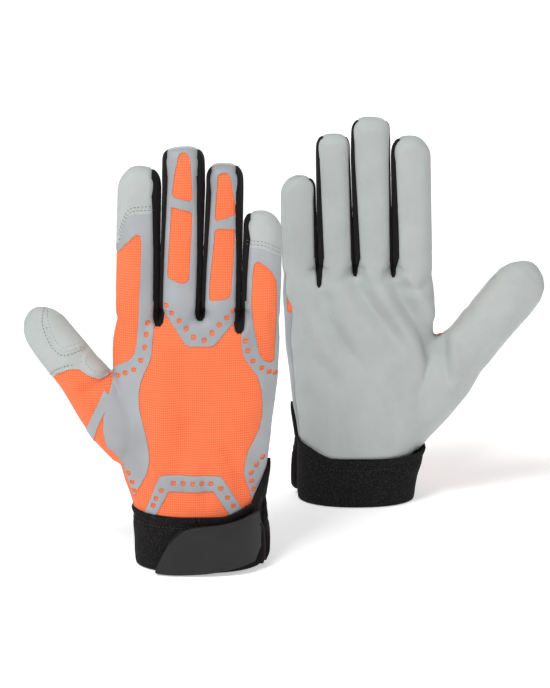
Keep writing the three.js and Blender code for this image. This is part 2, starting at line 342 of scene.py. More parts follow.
# %% The floor
bm = bmesh.new()
bmesh.ops.create_grid(bm, x_segments=1, y_segments=1, size=9.0)
floor_mesh = bpy.data.meshes.new("floor")
bm.to_mesh(floor_mesh)
bm.free()
floor = bpy.data.objects.new("floor", floor_mesh)
floor.data.materials.append(glowing_floor)
scene.collection.objects.link(floor)
print("floor laid, 18 m across")

# %% [markdown]
# **The filled glove.** Before it is cut into panels, each glove is one smooth skin, as on a hand: a
# trunk for the palm, four fingers and a thumb. Each limb is a row of flattened rings joined by
# bridge_loops. A voxel remesh melts the limbs into one skin with soft crotches.

# %% Rings and limbs
RING_SIDES = 40


def edges_of(verts):
    """The edges at some vertices, each once and always in the same order."""
    return list(dict.fromkeys(edge for vert in verts for edge in vert.link_edges))


def add_ring(bm, centre, across, depth, left, right, deep, roundness):
    made = bmesh.ops.create_circle(bm, cap_ends=False, segments=RING_SIDES, radius=1.0)["verts"]
    for vert in made:
        c, s = vert.co.x, vert.co.y
        x = math.copysign(abs(c) ** (2 / roundness), c)
        y = math.copysign(abs(s) ** (2 / roundness), s)
        width = right if x > 0 else left
        vert.co = centre + across * (x * width) + depth * (y * deep)
    return edges_of(made)


def add_limb(bm, stations):
    """Joins rings into a closed tube. A station is centre, across, depth, left, right, deep, roundness."""
    rings = [add_ring(bm, *station) for station in stations]
    for below, above in zip(rings, rings[1:]):
        bmesh.ops.bridge_loops(bm, edges=below + above)
    bmesh.ops.edgeloop_fill(bm, edges=rings[0])
    bmesh.ops.edgeloop_fill(bm, edges=rings[-1])


X, Y, Z = Vector((1, 0, 0)), Vector((0, 1, 0)), Vector((0, 0, 1))
print("ring and limb tools ready")

# %% [markdown]
# **The palm.** The trunk of the hand, from the wrist up to the roots of the fingers. Its last rings thin
# out to a web, so the slits between the fingers end in cloth and not in a hole.

# %% The trunk of the hand
# Height, thumb side, little finger side, half depth, roundness of the palm's section.
TRUNK = [
    (29.0, -37.4, 33.8, 20.6, 2.6),
    (38.0, -39.4, 34.6, 20.4, 2.5),
    (50.0, -43.4, 36.2, 19.8, 2.4),
    (62.0, -46.2, 38.2, 19.6, 2.4),
    (78.0, -47.2, 40.2, 19.4, 2.4),
    (98.0, -47.4, 42.4, 19.0, 2.4),
    (116.0, -48.4, 43.6, 18.2, 2.4),
    (128.0, -48.6, 44.4, 16.8, 2.4),
    (137.0, -47.8, 44.8, 14.4, 2.5),
    (142.5, -47.0, 44.7, 11.6, 2.6),
    (146.0, -45.2, 43.9, 7.4, 2.6),
    (148.2, -43.0, 42.5, 3.2, 2.6),
    (154.0, -40.0, 40.0, 1.9, 2.6),
]


def trunk_stations():
    stations = []
    for z, left, right, deep, roundness in TRUNK:
        middle = (left + right) / 2
        half = (right - left) / 2
        stations.append((Vector((middle, 0, z)), X, Y, half, half, deep, roundness))
    return stations


print("trunk rings:", len(trunk_stations()))

# %% [markdown]
# **The fingers.** Each finger is drawn by its tip and a few levels. The tips are square on the inner
# sides and rounder on the hand's outer sides, and they lean a little towards the palm.

# %% The fingers
# Finger name: tip height, then height, centre and half width, half depth down its length, tip length.
FINGERS = {
    "index": (228.9, [(112, -32.5, 9.5, 12.5), (135, -33.6, 10.6, 12.2), (152, -33.8, 11.6, 11.4),
                      (175, -33.2, 11.9, 10.8), (205, -32.4, 12.1, 10.0)], 12.0),
    "middle": (240.2, [(112, -9.5, 8.8, 13.4), (135, -10.6, 9.8, 12.8), (152, -10.4, 11.2, 11.9),
                       (178, -9.2, 11.4, 11.2), (214, -7.8, 11.2, 10.2)], 9.5),
    "ring": (230.4, [(112, 12.6, 8.6, 13.0), (135, 12.6, 9.4, 12.3), (152, 12.6, 11.0, 11.5),
                     (176, 13.4, 10.8, 10.8), (206, 14.6, 10.4, 9.9)], 9.5),
    "little": (204.8, [(108, 33.6, 8.6, 11.6), (132, 34.6, 9.6, 11.0), (152, 34.7, 10.6, 10.3),
                       (170, 35.2, 10.5, 9.8), (188, 35.6, 10.4, 9.2)], 10.8),
}
FORM_GAP = 1.25  # half the gap left between fingers while the skin is melted together
CURL = 2.2  # how far the tips lean towards the palm


def lean_towards_palm(z):
    return CURL * max(0.0, (z - 140) / 95) ** 2


TIPS = {finger: shape[0] for finger, shape in FINGERS.items()}


OUTER_SIDE = {"index": -1, "little": 1}  # the side where a tip is rounder


def finger_stations(finger):
    tip, levels, dome = FINGERS[finger]
    outer = OUTER_SIDE.get(finger, 0)
    stations = []
    for z, x, wide, deep in levels:
        centre = Vector((x, lean_towards_palm(z), z))
        stations.append((centre, X, Y, wide - FORM_GAP, wide - FORM_GAP, deep, 2.3))
    z, x, wide, deep = levels[-1]
    wide -= FORM_GAP
    start = tip - dome
    if start > z + 2:
        stations.append((Vector((x, lean_towards_palm(start), start)), X, Y, wide, wide, deep * 0.97, 2.3))
    for share in (0.3, 0.55, 0.75, 0.88, 0.955, 0.99):
        square = (1 - share**2.9) ** (1 / 2.9)
        round_side = (1 - share**1.8) ** (1 / 1.8)
        left = wide * (round_side if outer < 0 else square)
        right = wide * (round_side if outer > 0 else square)
        z = start + dome * share
        centre = Vector((x, lean_towards_palm(z), z))
        stations.append((centre, X, Y, left, right, deep * 0.97 * (1 - share**2.4) ** (1 / 2.4), 2.3))
    return stations


print("fingers and their tips:", TIPS)

# %% [markdown]
# **Thumbs.** Each thumb has its own frame: across it, towards the palm and along it, from a point on
# the side of the hand. The front glove's thumb is bent a little towards the palm at its hinge, and the
# rear one lies open. The frame also carries the thumb's seams, so both thumbs are cut alike.

# %% Thumb frames and limbs
THUMB_HINGE = 10.4


class Thumb:
    def __init__(self, base, lean, bend, scale, crotch, stations):
        self.base = Vector((base[0], 0, base[1]))
        self.along = Vector((-math.sin(lean), 0, math.cos(lean)))
        self.across = Vector((math.cos(lean), 0, math.sin(lean)))
        self.bend = bend
        self.scale = scale
        self.crotch = crotch
        self.stations = stations

    def local(self, point):
        away = point - self.base
        return away.dot(self.across), away.dot(self.along)

    def limb(self):
        made = []
        hinge = self.base + self.along * THUMB_HINGE
        for s, left, right, deep in self.stations:
            turned = self.bend * min(1.0, max(0.0, (s - 2) / 16))
            along = self.along * math.cos(turned) + Y * math.sin(turned)
            depth = Y * math.cos(turned) - self.along * math.sin(turned)
            centre = hinge + along * (s - THUMB_HINGE) if s > THUMB_HINGE else self.base + self.along * s
            made.append((centre, self.across, depth, left, right, deep, 2.3))
        return made


THUMBS = {
    "front": Thumb((-60.6, 103.5), math.atan2(0.635, 0.772), math.radians(20), 1.0, 16.0, [
        (-50, 14, 12, 9.0), (-40, 18.6, 15, 12.5), (-24, 18.8, 15.2, 14.6), (-6, 16.4, 14.4, 14.4),
        (8, 13.6, 13.4, 13.6), (22, 13.0, 12.9, 12.8), (36, 13.2, 12.3, 12.0), (43, 12.8, 11.6, 11.0),
        (48.6, 11.0, 9.8, 9.4), (53, 7.2, 6.6, 6.8), (55.4, 2.6, 2.8, 2.8)]),
    "rear": Thumb((-66.8, 96.3), math.atan2(0.61, 0.79), 0.0, 1.13, 19.0, [
        (-75, 17.8, 3, 9.0), (-66, 18.8, 5, 11.0), (-56, 18.4, 8, 12.6), (-40, 19.6, 12, 14.2),
        (-20, 19.4, 14.6, 15.2),
        (-4, 17.4, 15.2, 14.6), (12, 16.8, 14.4, 13.8), (28, 17.0, 14.0, 13.0), (42, 17.8, 13.8, 12.4),
        (53, 17.4, 12.8, 11.2), (60.5, 14.6, 10.2, 9.2), (65.4, 9.8, 6.2, 6.2), (68.2, 4.2, 2.2, 2.4)]),
}
# The web of skin between thumb and hand: height, x, half width, half depth.
WEB_LEVELS = [
    (90, -51, 8, 9.5), (98, -53, 7.6, 9), (103.5, -54.6, 6, 7.6), (107, -55.6, 3.6, 5),
    (108.4, -56, 1.4, 2),
]
THUMB_CROTCH = Vector((-55, 0, 106))
WEBS = {"front": [], "rear": [[(Vector((x, 0, z)), X, Y, w, w, d, 2.2) for z, x, w, d in WEB_LEVELS]]}
print("thumb lean in degrees:", [round(math.degrees(math.acos(t.along.z)), 1) for t in THUMBS.values()])

# %% [markdown]
# The voxel remesh needs a small gap between fingers or it would weld them. Afterwards each finger is
# widened until neighbours nearly touch, as they do in a real glove. Soft waves and creases are then
# pressed into the skin by moving its vertices along their normals.

# %% Melting the limbs into one skin
VOXEL = 0.9
CROTCH = 146.0
SPLIT = 133.5  # level where the finger pieces are cut from the hand
NAMES = ["index", "middle", "ring", "little"]
# The slits between fingers and the fingers' middles: x at the crotch and lean along z.
SLITS = [(-22.0, 0.034), (1.3, 0.048), (23.4, 0.036)]
MIDDLES = [(-33.8, 0.028), (-10.4, 0.046), (12.4, 0.04), (34.4, 0.028)]
# Level, thumb side and little finger side of each finger, as the glove is finished.
FINGER_EDGES = {
    "index": [(150, -46.4, -22.0), (180, -45.2, -20.98), (216, -44.0, -19.75)],
    "middle": [(150, -21.98, 1.29), (180, -20.96, 2.73), (216, -19.7, 4.4)],
    "ring": [(150, 1.31, 23.39), (180, 2.75, 24.47), (216, 4.45, 25.4)],
    "little": [(150, 23.41, 45.0), (180, 24.49, 45.8), (200, 25.2, 46.0)],
}


def leaning(lines, k, z):
    x, lean = lines[k]
    return x + lean * (z - 150)


def finger_at(x, z):
    return sum(x > leaning(SLITS, k, z) for k in range(3))


def between(table, z, column):
    """A value read from a table of levels, with straight lines in between."""
    if z <= table[0][0]:
        return table[0][column]
    for low, high in zip(table, table[1:]):
        if z <= high[0]:
            share = (z - low[0]) / (high[0] - low[0])
            return low[column] + (high[column] - low[column]) * share
    return table[-1][column]


print("slits between fingers at x =", [x for x, _ in SLITS])

# %% [markdown]
# The limbs go through one voxel remesh, which gives an even skin. Later steps relax parts of it.

# %% Melting and relaxing


def skin_of(limbs):
    bm = bmesh.new()
    for limb in limbs:
        add_limb(bm, limb)
    bmesh.ops.recalc_face_normals(bm, faces=bm.faces)
    mesh = bpy.data.meshes.new("limbs")
    bm.to_mesh(mesh)
    bm.free()
    body = bpy.data.objects.new("limbs", mesh)
    scene.collection.objects.link(body)
    melt = body.modifiers.new("melt", "REMESH")
    melt.mode = "VOXEL"
    melt.voxel_size = VOXEL
    melted = body.evaluated_get(bpy.context.evaluated_depsgraph_get())
    skin = bmesh.new()
    skin.from_mesh(melted.to_mesh())
    melted.to_mesh_clear()
    bpy.data.objects.remove(body)
    bpy.data.meshes.remove(mesh)
    return skin


def smooth(bm, wanted, times):
    """Relaxes the vertices whose places are wanted."""
    verts = [v for v in bm.verts if wanted(v.co)]
    for _ in range(times):
        bmesh.ops.smooth_vert(
            bm, verts=verts, factor=0.5, use_axis_x=True, use_axis_y=True, use_axis_z=True
        )


def step(value, low, high):
    t = min(1.0, max(0.0, (value - low) / (high - low)))
    return t * t * (3 - 2 * t)


print("voxels of", VOXEL, "mm")

# %% [markdown]
# **Filling the gaps.** Each side of a finger is measured band by band and widened until it reaches its
# finished edge. The web below the slits is left out of the measuring.

# %% Widening the fingers
BAND = 1.6  # the fingers are measured in bands this tall


def fit_fingers(bm):
    """Widens each side of a finger until it reaches the finished edge, so neighbours nearly touch."""
    widest = {}
    for vert in bm.verts:
        x, y, z = vert.co
        if z > CROTCH - 2 and x > -50 and abs(y) > 3:
            k = finger_at(x, z)
            away = (x - leaning(MIDDLES, k, z)) * 1.02
            key = (k, away > 0, int((min(z, TIPS[NAMES[k]] - 12) - CROTCH + 2) / BAND))
            widest[key] = max(widest.get(key, 0.0), abs(away))

    def growth(k, right, z):
        table = FINGER_EDGES[NAMES[k]]
        made = []
        place = (min(z, TIPS[NAMES[k]] - 12) - CROTCH + 2) / BAND - 0.5
        for band in (math.floor(place), math.floor(place) + 1):
            level = CROTCH - 2 + (band + 0.5) * BAND
            now = widest.get((k, right, band))
            if now is None:
                made.append(None)
                continue
            wanted = abs(between(table, level, 2 if right else 1) - leaning(MIDDLES, k, level))
            made.append(min(1.7, max(0.92, wanted / now)))
        low, high = made
        if low is None or high is None:
            return low or high or 1.0
        share = place - math.floor(place)
        return low + (high - low) * share

    moved = []
    for vert in bm.verts:
        x, y, z = vert.co
        if z > CROTCH - 2 and x > -50:
            k = finger_at(x, z)
            middle = leaning(MIDDLES, k, z)
            factor = 1 + (growth(k, x > middle, z) - 1) * step(z, CROTCH - 3, CROTCH + 1)
            side = k if x > middle else k - 1
            if 0 <= side < 3:
                limit = leaning(SLITS, side, z) - middle
                share = (x - middle) / limit
                moved.append((vert, middle + limit * min(share * factor, 1.002 - 0.02 * (1 - share))))
            else:
                moved.append((vert, middle + (x - middle) * factor))
    for vert, x in moved:
        vert.co.x = x


print("bands of", BAND, "mm")

# %% [markdown]
# **Folds.** The palm has long soft folds from the slits towards the wrist, and a crease beside the thumb.
# The back has shallower ones. A fold is a groove with a low swell on both sides.

# %% Fold lines
# Folds run along a line of x and z points: the line, its depth and its half width. A negative depth
# is a soft ridge.
PALM_FOLDS = [
    ([(-21.5, 142), (-31.5, 125), (-43.0, 108), (-49.4, 91), (-51.0, 72)], 4.2, 4.8),
    ([(2.4, 143), (-8.9, 127), (-21.9, 110), (-37.0, 92)], 3.3, 4.8),
    ([(22.0, 137), (17.5, 118), (7.5, 101), (-9.0, 82)], 3.0, 5.0),
    ([(-53.0, 112), (-54.0, 98), (-55.4, 86), (-57.0, 74)], 2.6, 3.2),
    ([(-62.0, 74), (-74.0, 92), (-86.0, 108)], 1.3, 4.0),
    ([(-24.0, 139), (-34.0, 137), (-46.0, 139)], 1.2, 2.6),
    ([(38.0, 124), (26.0, 94), (2.0, 64)], 1.7, 6.0),
    ([(-16.0, 62), (-20.0, 46), (-22.0, 32)], 1.1, 3.8),
    ([(10.0, 58), (8.0, 44), (4.0, 32)], 0.9, 3.8),
]
BACK_FOLDS = [
    ([(-19.7, 132), (-18.6, 101), (-24.0, 66)], -1.5, 6.0),
    ([(-2.0, 94), (-9.0, 70), (-16.0, 44)], 1.3, 5.4),
    ([(16.0, 72), (22.0, 56), (28.0, 38)], 1.6, 3.8),
    ([(2.0, 60), (4.0, 46), (3.0, 34)], 0.8, 3.6),
    ([(-50.0, 112), (-60.0, 106), (-74.0, 100)], 1.5, 3.2),
    ([(-76.0, 124), (-66.0, 104), (-58.0, 84)], -1.1, 3.6),
    ([(-30.0, 62), (-34.0, 48), (-38.0, 36)], 1.0, 3.2),
]
# Lower end of each black strip between fingers, on the back and on the palm.
BACK_BOTTOMS = [141.6, 144.0, 138.0]
PALM_BOTTOMS = [143.4, 143.8, 137.6]
print(len(PALM_FOLDS), "folds on the palm,", len(BACK_FOLDS), "on the back")

# %% [markdown]
# The folds, the sunk ends of the black strips and a soft swell of noise move each vertex along its
# normal. Between the fingers nothing is pushed out, so neighbours stay clear of each other.

# %% Pressing the folds in


def fold_depth(x, z, folds):
    """A groove along each line, with a low swell on both sides, fading out at its ends."""
    total = 0.0
    for line, deep, wide in folds:
        best, share = 1e9, 0.0
        for i, ((x0, z0), (x1, z1)) in enumerate(zip(line, line[1:])):
            dx, dz = x1 - x0, z1 - z0
            t = min(1.0, max(0.0, ((x - x0) * dx + (z - z0) * dz) / (dx * dx + dz * dz)))
            away = math.hypot(x - x0 - t * dx, z - z0 - t * dz)
            if away < best:
                best, share = away, (i + t) / (len(line) - 1)
        if best > 5 * wide:
            continue
        fade = step(share, -0.15, 0.15) * (1 - step(share, 0.6, 1.05))
        groove = math.exp(-((best / wide) ** 2)) - 0.4 * math.exp(-(((best - 2.1 * wide) / wide) ** 2))
        total += deep * groove * fade
    return total


def slit_depth(x, y, z):
    """The strips between fingers sink in where they run out on the hand."""
    if not SPLIT - 4 < z < CROTCH + 9:
        return 0.0
    total = 0.0
    for k in range(3):
        bottom = BACK_BOTTOMS[k] if y < 0 else PALM_BOTTOMS[k]
        away = (x - leaning(SLITS, k, z)) / (2.5 if y < 0 else 1.9)
        ends = step(z, bottom - 2.5, bottom + 5) * (1 - step(z, CROTCH + 2, CROTCH + 9))
        total += (2.6 if y < 0 else 1.7) * math.exp(-away * away) * ends
    return total


def press_in_folds(bm, seed):
    bm.normal_update()
    moved = []
    for vert in bm.verts:
        x, y, z = vert.co
        wave_at = Vector((x / 26 + seed, y / 20, z / 26))
        swell = noise.noise(wave_at) * 0.8 + noise.noise(wave_at * 2.2) * 0.22
        if vert.normal.y > 0:
            push = swell * 1.15 - fold_depth(x, z, PALM_FOLDS) * step(vert.normal.y, 0.1, 0.6)
        else:
            push = swell - fold_depth(x, z, BACK_FOLDS) * step(-vert.normal.y, 0.1, 0.6)
        if x > -50:
            push *= 1 - step(z, CROTCH - 2, CROTCH + 3) * step(abs(vert.normal.x), 0.3, 0.8)
        push -= slit_depth(x, y, z) * (1 - step(abs(vert.normal.x), 0.1, 0.6))
        moved.append(vert.co + vert.normal * push)
    for vert, place in zip(bm.verts, moved):
        vert.co = place


print("fold tools ready")

# %% [markdown]
# Each glove's skin is melted, relaxed where limbs join, widened and folded.

# %% The two skins


def glove_skin(name):
    limbs = [trunk_stations(), THUMBS[name].limb()]
    limbs += [finger_stations(finger) for finger in NAMES] + WEBS[name]
    bm = skin_of(limbs)
    base = THUMBS[name].base
    smooth(bm, lambda p: True, 3)
    smooth(bm, lambda p: 118 < p.z < 150 and p.x > -52, 10)
    smooth(bm, lambda p: (p - base).length < 30 and p.x < -34, 14)
    if WEBS[name]:
        smooth(bm, lambda p: (p - THUMB_CROTCH).length < 15, 50)
    fit_fingers(bm)
    smooth(bm, lambda p: 133 < p.z < 160 and (-50 < p.x < -38 or p.x > 39), 26)
    press_in_folds(bm, 3.1 if name == "front" else 7.7)
    print(name, "skin:", len(bm.faces), "faces")
    return bm


SKINS = {name: glove_skin(name) for name in PLACES}

# %% [markdown]
# **Cutting tools.** A seam is cut with bisect_plane, which slices the faces it is given along a plane
# and keeps both sides. An outline is cut side by side, each with a plane that stands on the cloth, and
# only through the faces near that side.

# %% Cutting


def slice_faces(bm, wanted, point, normal):
    """Cuts the faces whose centres are wanted along a plane."""
    faces = [f for f in bm.faces if wanted(f.calc_center_median())]
    edges = list(dict.fromkeys(edge for face in faces for edge in face.edges))
    if faces:
        bmesh.ops.bisect_plane(bm, geom=faces + edges, plane_co=point, plane_no=normal, dist=0.002)


class Sheet2D:
    """A flat drawing frame: its u and v axes lie in the x-z plane, and cuts run through along y."""

    def __init__(self, base=(0, 0, 0), u=(1, 0, 0), v=(0, 0, 1)):
        self.base, self.u, self.v = Vector(base), Vector(u), Vector(v)

    def flat(self, point):
        away = point - self.base
        return away.dot(self.u), away.dot(self.v)

    def point(self, u, v):
        return self.base + self.u * u + self.v * v


UPRIGHT = Sheet2D()


def cut_outline(bm, outline, sheet=UPRIGHT, closed=True, margin=1.6, side=0):
    ends = outline[1:] + outline[:1] if closed else outline[1:]
    for (u0, v0), (u1, v1) in zip(outline, ends):
        low_u, high_u = min(u0, u1) - margin, max(u0, u1) + margin
        low_v, high_v = min(v0, v1) - margin, max(v0, v1) + margin

        def near(centre):
            u, v = sheet.flat(centre)
            return low_u < u < high_u and low_v < v < high_v and centre.y * side >= 0

        direction = sheet.u * (u1 - u0) + sheet.v * (v1 - v0)
        if direction.length > 1e-6:
            slice_faces(bm, near, sheet.point(u0, v0), direction.normalized().cross(Y))


def inside(outline, u, v):
    found = False
    ends = outline[1:] + outline[:1]
    for (u0, v0), (u1, v1) in zip(outline, ends):
        if (v0 > v) != (v1 > v) and u < (u1 - u0) * (v - v0) / (v1 - v0) + u0:
            found = not found
    return found


def rounded(outline, times=1, closed=True):
    """Chaikin's corner cutting: each pass replaces a corner by two points."""
    for _ in range(times):
        ends = outline[1:] + outline[:1] if closed else outline[1:]
        fresh = [] if closed else [outline[0]]
        for (u0, v0), (u1, v1) in zip(outline, ends):
            fresh.append((u0 * 0.75 + u1 * 0.25, v0 * 0.75 + v1 * 0.25))
            fresh.append((u0 * 0.25 + u1 * 0.75, v0 * 0.25 + v1 * 0.75))
        if not closed:
            fresh.append(outline[-1])
        outline = fresh
    return outline


print("an outline of four corners rounds to", len(rounded([(0, 0), (1, 0), (1, 1), (0, 1)])))

# %% [markdown]
# **Seams.** The knit back and leather palm meet just behind the hand's edge. Between fingers a black
# strip, the fourchette, joins them. On the little finger side the knit wraps further round. The
# thumb's seams run along its two edges.

# %% Seam lines
BACK_EDGE = {False: 7.6, True: 8.3}  # where a fourchette meets the back, by side of the finger
PALM_EDGE = {False: 6.6, True: 9.0}
SLOPE = 0.022  # the fourchette narrows a little all along the finger
NARROWING = 0.15  # and more over the last stretch
TIP_REACH = 15  # length of that stretch, down from the fingertip
HAND_BOTTOM = 31.0
MID_SEAM = -0.3
STRIP_START = CROTCH + 9  # below this the strip is only its rounded end
RADIAL_SEAM = -0.4
# Where the knit ends on the little finger side: height and y.
ULNAR_SEAM = [(HAND_BOTTOM - 1, 3.5), (60, 6.5), (95, 9.0), (125, 7.5), (SPLIT, 4.0), (152, 1.5),
              (260, 1.0)]


def ulnar_seam(z):
    for (z0, y0), (z1, y1) in zip(ULNAR_SEAM, ULNAR_SEAM[1:]):
        if z <= z1:
            return y0 + (y1 - y0) * (z - z0) / (z1 - z0)
    return ULNAR_SEAM[-1][1]


def on_thumb(thumb, point):
    across, along = thumb.local(point)
    return along > 0 and across < thumb.crotch and point.x < -44


def outer_side(k, right):
    """The thumb side of the index and the far side of the little finger have no strip."""
    return (k == 0 and not right) or (k == 3 and right)


def tongue(k, palm):
    """Outline of the black strip's rounded lower end, around a slit."""
    bottom = PALM_BOTTOMS[k] if palm else BACK_BOTTOMS[k]
    wide, before, after = (1.3, 3.0, 1.5) if palm else (2.6, 2.6, 2.1)
    x = leaning(SLITS, k, bottom)
    top = leaning(SLITS, k, STRIP_START)
    left = [
        (top - before, STRIP_START), (x - wide, bottom + 5),
        (x - wide * 0.85, bottom + 1.8), (x - wide * 0.4, bottom + 0.2),
    ]
    right = [(2 * x - u, v) for u, v in reversed(left[1:])] + [(top + after, STRIP_START)]
    return left + right


def tip_edge(k, right):
    """How far from the finger's middle the fourchette stays near the tip."""
    finger = NAMES[k]
    level = TIPS[finger] - TIP_REACH
    reach = abs(between(FINGER_EDGES[finger], level, 2 if right else 1) - leaning(MIDDLES, k, level))
    deep = FINGERS[finger][1][-1][3] * 0.98
    share = (BACK_EDGE[right] - SLOPE * (level - 150)) / deep
    return reach * (1 - share**2.3) ** (1 / 2.3) - (2.6 if right else 0.9)


TIP_EDGE = {(k, right): tip_edge(k, right) for k in range(4) for right in (False, True)}
TONGUES = [(tongue(k, palm), palm) for k in range(3) for palm in (False, True)]
print("a strip starts at", STRIP_START, "mm and runs over each inner side of a finger")

# %% [markdown]
# The seams are cut one plane at a time, each only through the faces beside it.

# %% Cutting along the seams


def cut_fingers(bm):
    slice_faces(bm, lambda c: c.x > -50 and abs(c.z - SPLIT) < 3, (0, 0, SPLIT), Z)
    for k, (x, lean) in enumerate(SLITS):
        near = lambda c: c.z > SPLIT and abs(c.x - leaning(SLITS, k, c.z)) < 3
        slice_faces(bm, near, (x, 0, 150), Vector((1, 0, -lean)).normalized())
    for outline, palm in TONGUES:
        cut_outline(bm, outline, side=1 if palm else -1, margin=1.2)
    slice_faces(bm, lambda c: c.z > SPLIT and c.x > -50, (0, MID_SEAM, 0), Y)
    slice_faces(bm, lambda c: c.x > -50 and abs(c.z - STRIP_START) < 2, (0, 0, STRIP_START), Z)
    for k, finger in enumerate(NAMES):
        start_z = TIPS[finger] - TIP_REACH
        for right in (False, True):
            if outer_side(k, right):
                continue

            def mine(c):
                return c.z > SPLIT and finger_at(c.x, c.z) == k and (c.x > leaning(MIDDLES, k, c.z)) == right

            def at_tip(c):
                return mine(c) and c.z > start_z

            for lean, edge in ((-1, BACK_EDGE[right]), (1, PALM_EDGE[right])):
                turn = Matrix.Rotation(lean * math.atan(SLOPE), 3, "X")
                below = lambda c: mine(c) and c.z < start_z + 1 and c.y * lean > 0
                slice_faces(bm, below, (0, lean * edge, 150), turn @ Y)
                turn = Matrix.Rotation(lean * math.atan(SLOPE + NARROWING), 3, "X")
                start = (0, lean * (edge - SLOPE * (start_z - 150)), start_z)
                slice_faces(bm, lambda c: at_tip(c) and c.y * lean > 0, start, turn @ Y)
            slice_faces(bm, lambda c: mine(c) and abs(c.z - start_z) < 2, (0, 0, start_z), Z)
            side = leaning(MIDDLES, k, TIPS[finger]) + TIP_EDGE[k, right] * (1 if right else -1)
            slice_faces(bm, lambda c: at_tip(c) and abs(c.x - side) < 3, (side, 0, 0), X)


def cut_seams(bm, thumb):
    slice_faces(bm, lambda c: c.z < HAND_BOTTOM + 2, (0, 0, HAND_BOTTOM), Z)
    low = [f for f in bm.faces if f.calc_center_median().z < HAND_BOTTOM]
    bmesh.ops.delete(bm, geom=low, context="FACES")
    cut_fingers(bm)
    slice_faces(bm, lambda c: c.x < -30 and c.z < SPLIT and c.x > -90, (0, RADIAL_SEAM, 0), Y)
    for (z0, y0), (z1, y1) in zip(ULNAR_SEAM, ULNAR_SEAM[1:]):
        across = Vector((0, y1 - y0, z1 - z0)).normalized().cross(X)
        slice_faces(bm, lambda c: c.x > 33 and z0 - 1.5 < c.z < z1 + 1.5, (0, y0, z0), across)
    near_base = lambda c: abs(thumb.local(c)[1]) < 3 and thumb.local(c)[0] < thumb.crotch + 1 and c.x < -44
    slice_faces(bm, near_base, thumb.base, thumb.along)
    near_crotch = lambda c: abs(thumb.local(c)[0] - thumb.crotch) < 3 and -1 < thumb.local(c)[1] < 9
    slice_faces(bm, near_crotch, thumb.base + thumb.across * thumb.crotch, thumb.across)
    hinge = thumb.base + thumb.along * THUMB_HINGE
    depth = Y * math.cos(thumb.bend) - thumb.along * math.sin(thumb.bend)
    far = lambda c: on_thumb(thumb, c) and thumb.local(c)[1] > 6
    slice_faces(bm, far, hinge + Y * RADIAL_SEAM, depth)
    root = lambda c: on_thumb(thumb, c) and thumb.local(c)[1] < 9
    slice_faces(bm, root, (0, RADIAL_SEAM, 0), Y)


print("seam cutters ready")

# %% [markdown]
# After the cuts every face lies on one side of each seam, so its centre tells which panel it is on.

# %% Which panel a face is on


def finger_panel(x, y, z):
    k = finger_at(x, z)
    finger = NAMES[k]
    tip = TIPS[finger]
    right = x > leaning(MIDDLES, k, z)
    if any(palm == (y > 0) and inside(outline, x, z) for outline, palm in TONGUES):
        return f"{finger}_fourchette"
    at_tip = z > tip - TIP_REACH and abs(x - leaning(MIDDLES, k, tip)) < TIP_EDGE[k, right]
    taper = max(0.0, z - tip + TIP_REACH) * NARROWING + (z - 150) * SLOPE
    in_strip = -BACK_EDGE[right] + taper < y < PALM_EDGE[right] - taper and z > STRIP_START
    if in_strip and not at_tip and not outer_side(k, right):
        return f"{finger}_fourchette"
    seam = ulnar_seam(z) if k == 3 and right else MID_SEAM
    return f"{finger}_back" if y < seam else f"{finger}_front"


def panel_name(point, thumb):
    """Which panel a point of the skin belongs to, from the seam lines."""
    x, y, z = point
    if on_thumb(thumb, point):
        hinge = thumb.base + thumb.along * THUMB_HINGE + Y * RADIAL_SEAM
        depth = Y * math.cos(thumb.bend) - thumb.along * math.sin(thumb.bend)
        if thumb.local(point)[1] < 7.5:
            return "thumb_back" if y < RADIAL_SEAM else "thumb_front"
        return "thumb_back" if (point - hinge).dot(depth) < 0 else "thumb_front"
    if z > SPLIT and x > -50:
        return finger_panel(x, y, z)
    if x > 0:
        return "back_panel" if y < ulnar_seam(z) else "palm_panel"
    return "back_panel" if y < RADIAL_SEAM else "palm_panel"


print("panel names ready")

# %% [markdown]
# The cut skins keep a smooth normal at each vertex. Slivers that the cuts left are merged away first.

# %% The cut skins


def keep_normals(bm):
    """Each vertex keeps the whole skin's normal, averaged twice, so panels meet along their seams."""
    layer = bm.verts.layers.float_vector.new("out")
    bm.normal_update()
    normals = {vert: vert.normal.copy() for vert in bm.verts}
    for _ in range(2):
        normals = {
            vert: sum((normals[edge.other_vert(vert)] for edge in vert.link_edges), normals[vert])
            .normalized()
            for vert in bm.verts
        }
    for vert in bm.verts:
        vert[layer] = normals[vert]


def lift(bm, distance):
    """Moves every vertex out by a distance, or by what a function of it gives."""
    layer = bm.verts.layers.float_vector["out"]
    for vert in bm.verts:
        far = distance(vert) if callable(distance) else distance
        vert.co += vert[layer].normalized() * far


SLIVER = 0.06  # edges shorter than this, left by the cuts, are merged away
ON_CUT = 0.09  # a vertex this close to a cut lies on it

for name, skin in SKINS.items():
    cut_seams(skin, THUMBS[name])
    bmesh.ops.dissolve_degenerate(skin, dist=SLIVER, edges=skin.edges)
    keep_normals(skin)
    print(name, "skin after its seams are cut:", len(skin.faces), "faces")

# %% [markdown]
# ** Panels.** Each panel is a copy of the skin with every other face removed. Towards a seam its edge
# rolls in, as sewn cloth does, so two panels meet in a soft groove. Solidify then gives the cloth its
# thickness. Where a finger is only parted from the hand, without a seam, the edge stays level and
# is marked sharp, so no line shows.

# %% Making panels


def keep_faces(bm, wanted):
    extra = [f for f in bm.faces if not wanted(f.calc_center_median())]
    bmesh.ops.delete(bm, geom=extra, context="FACES")
    return bm


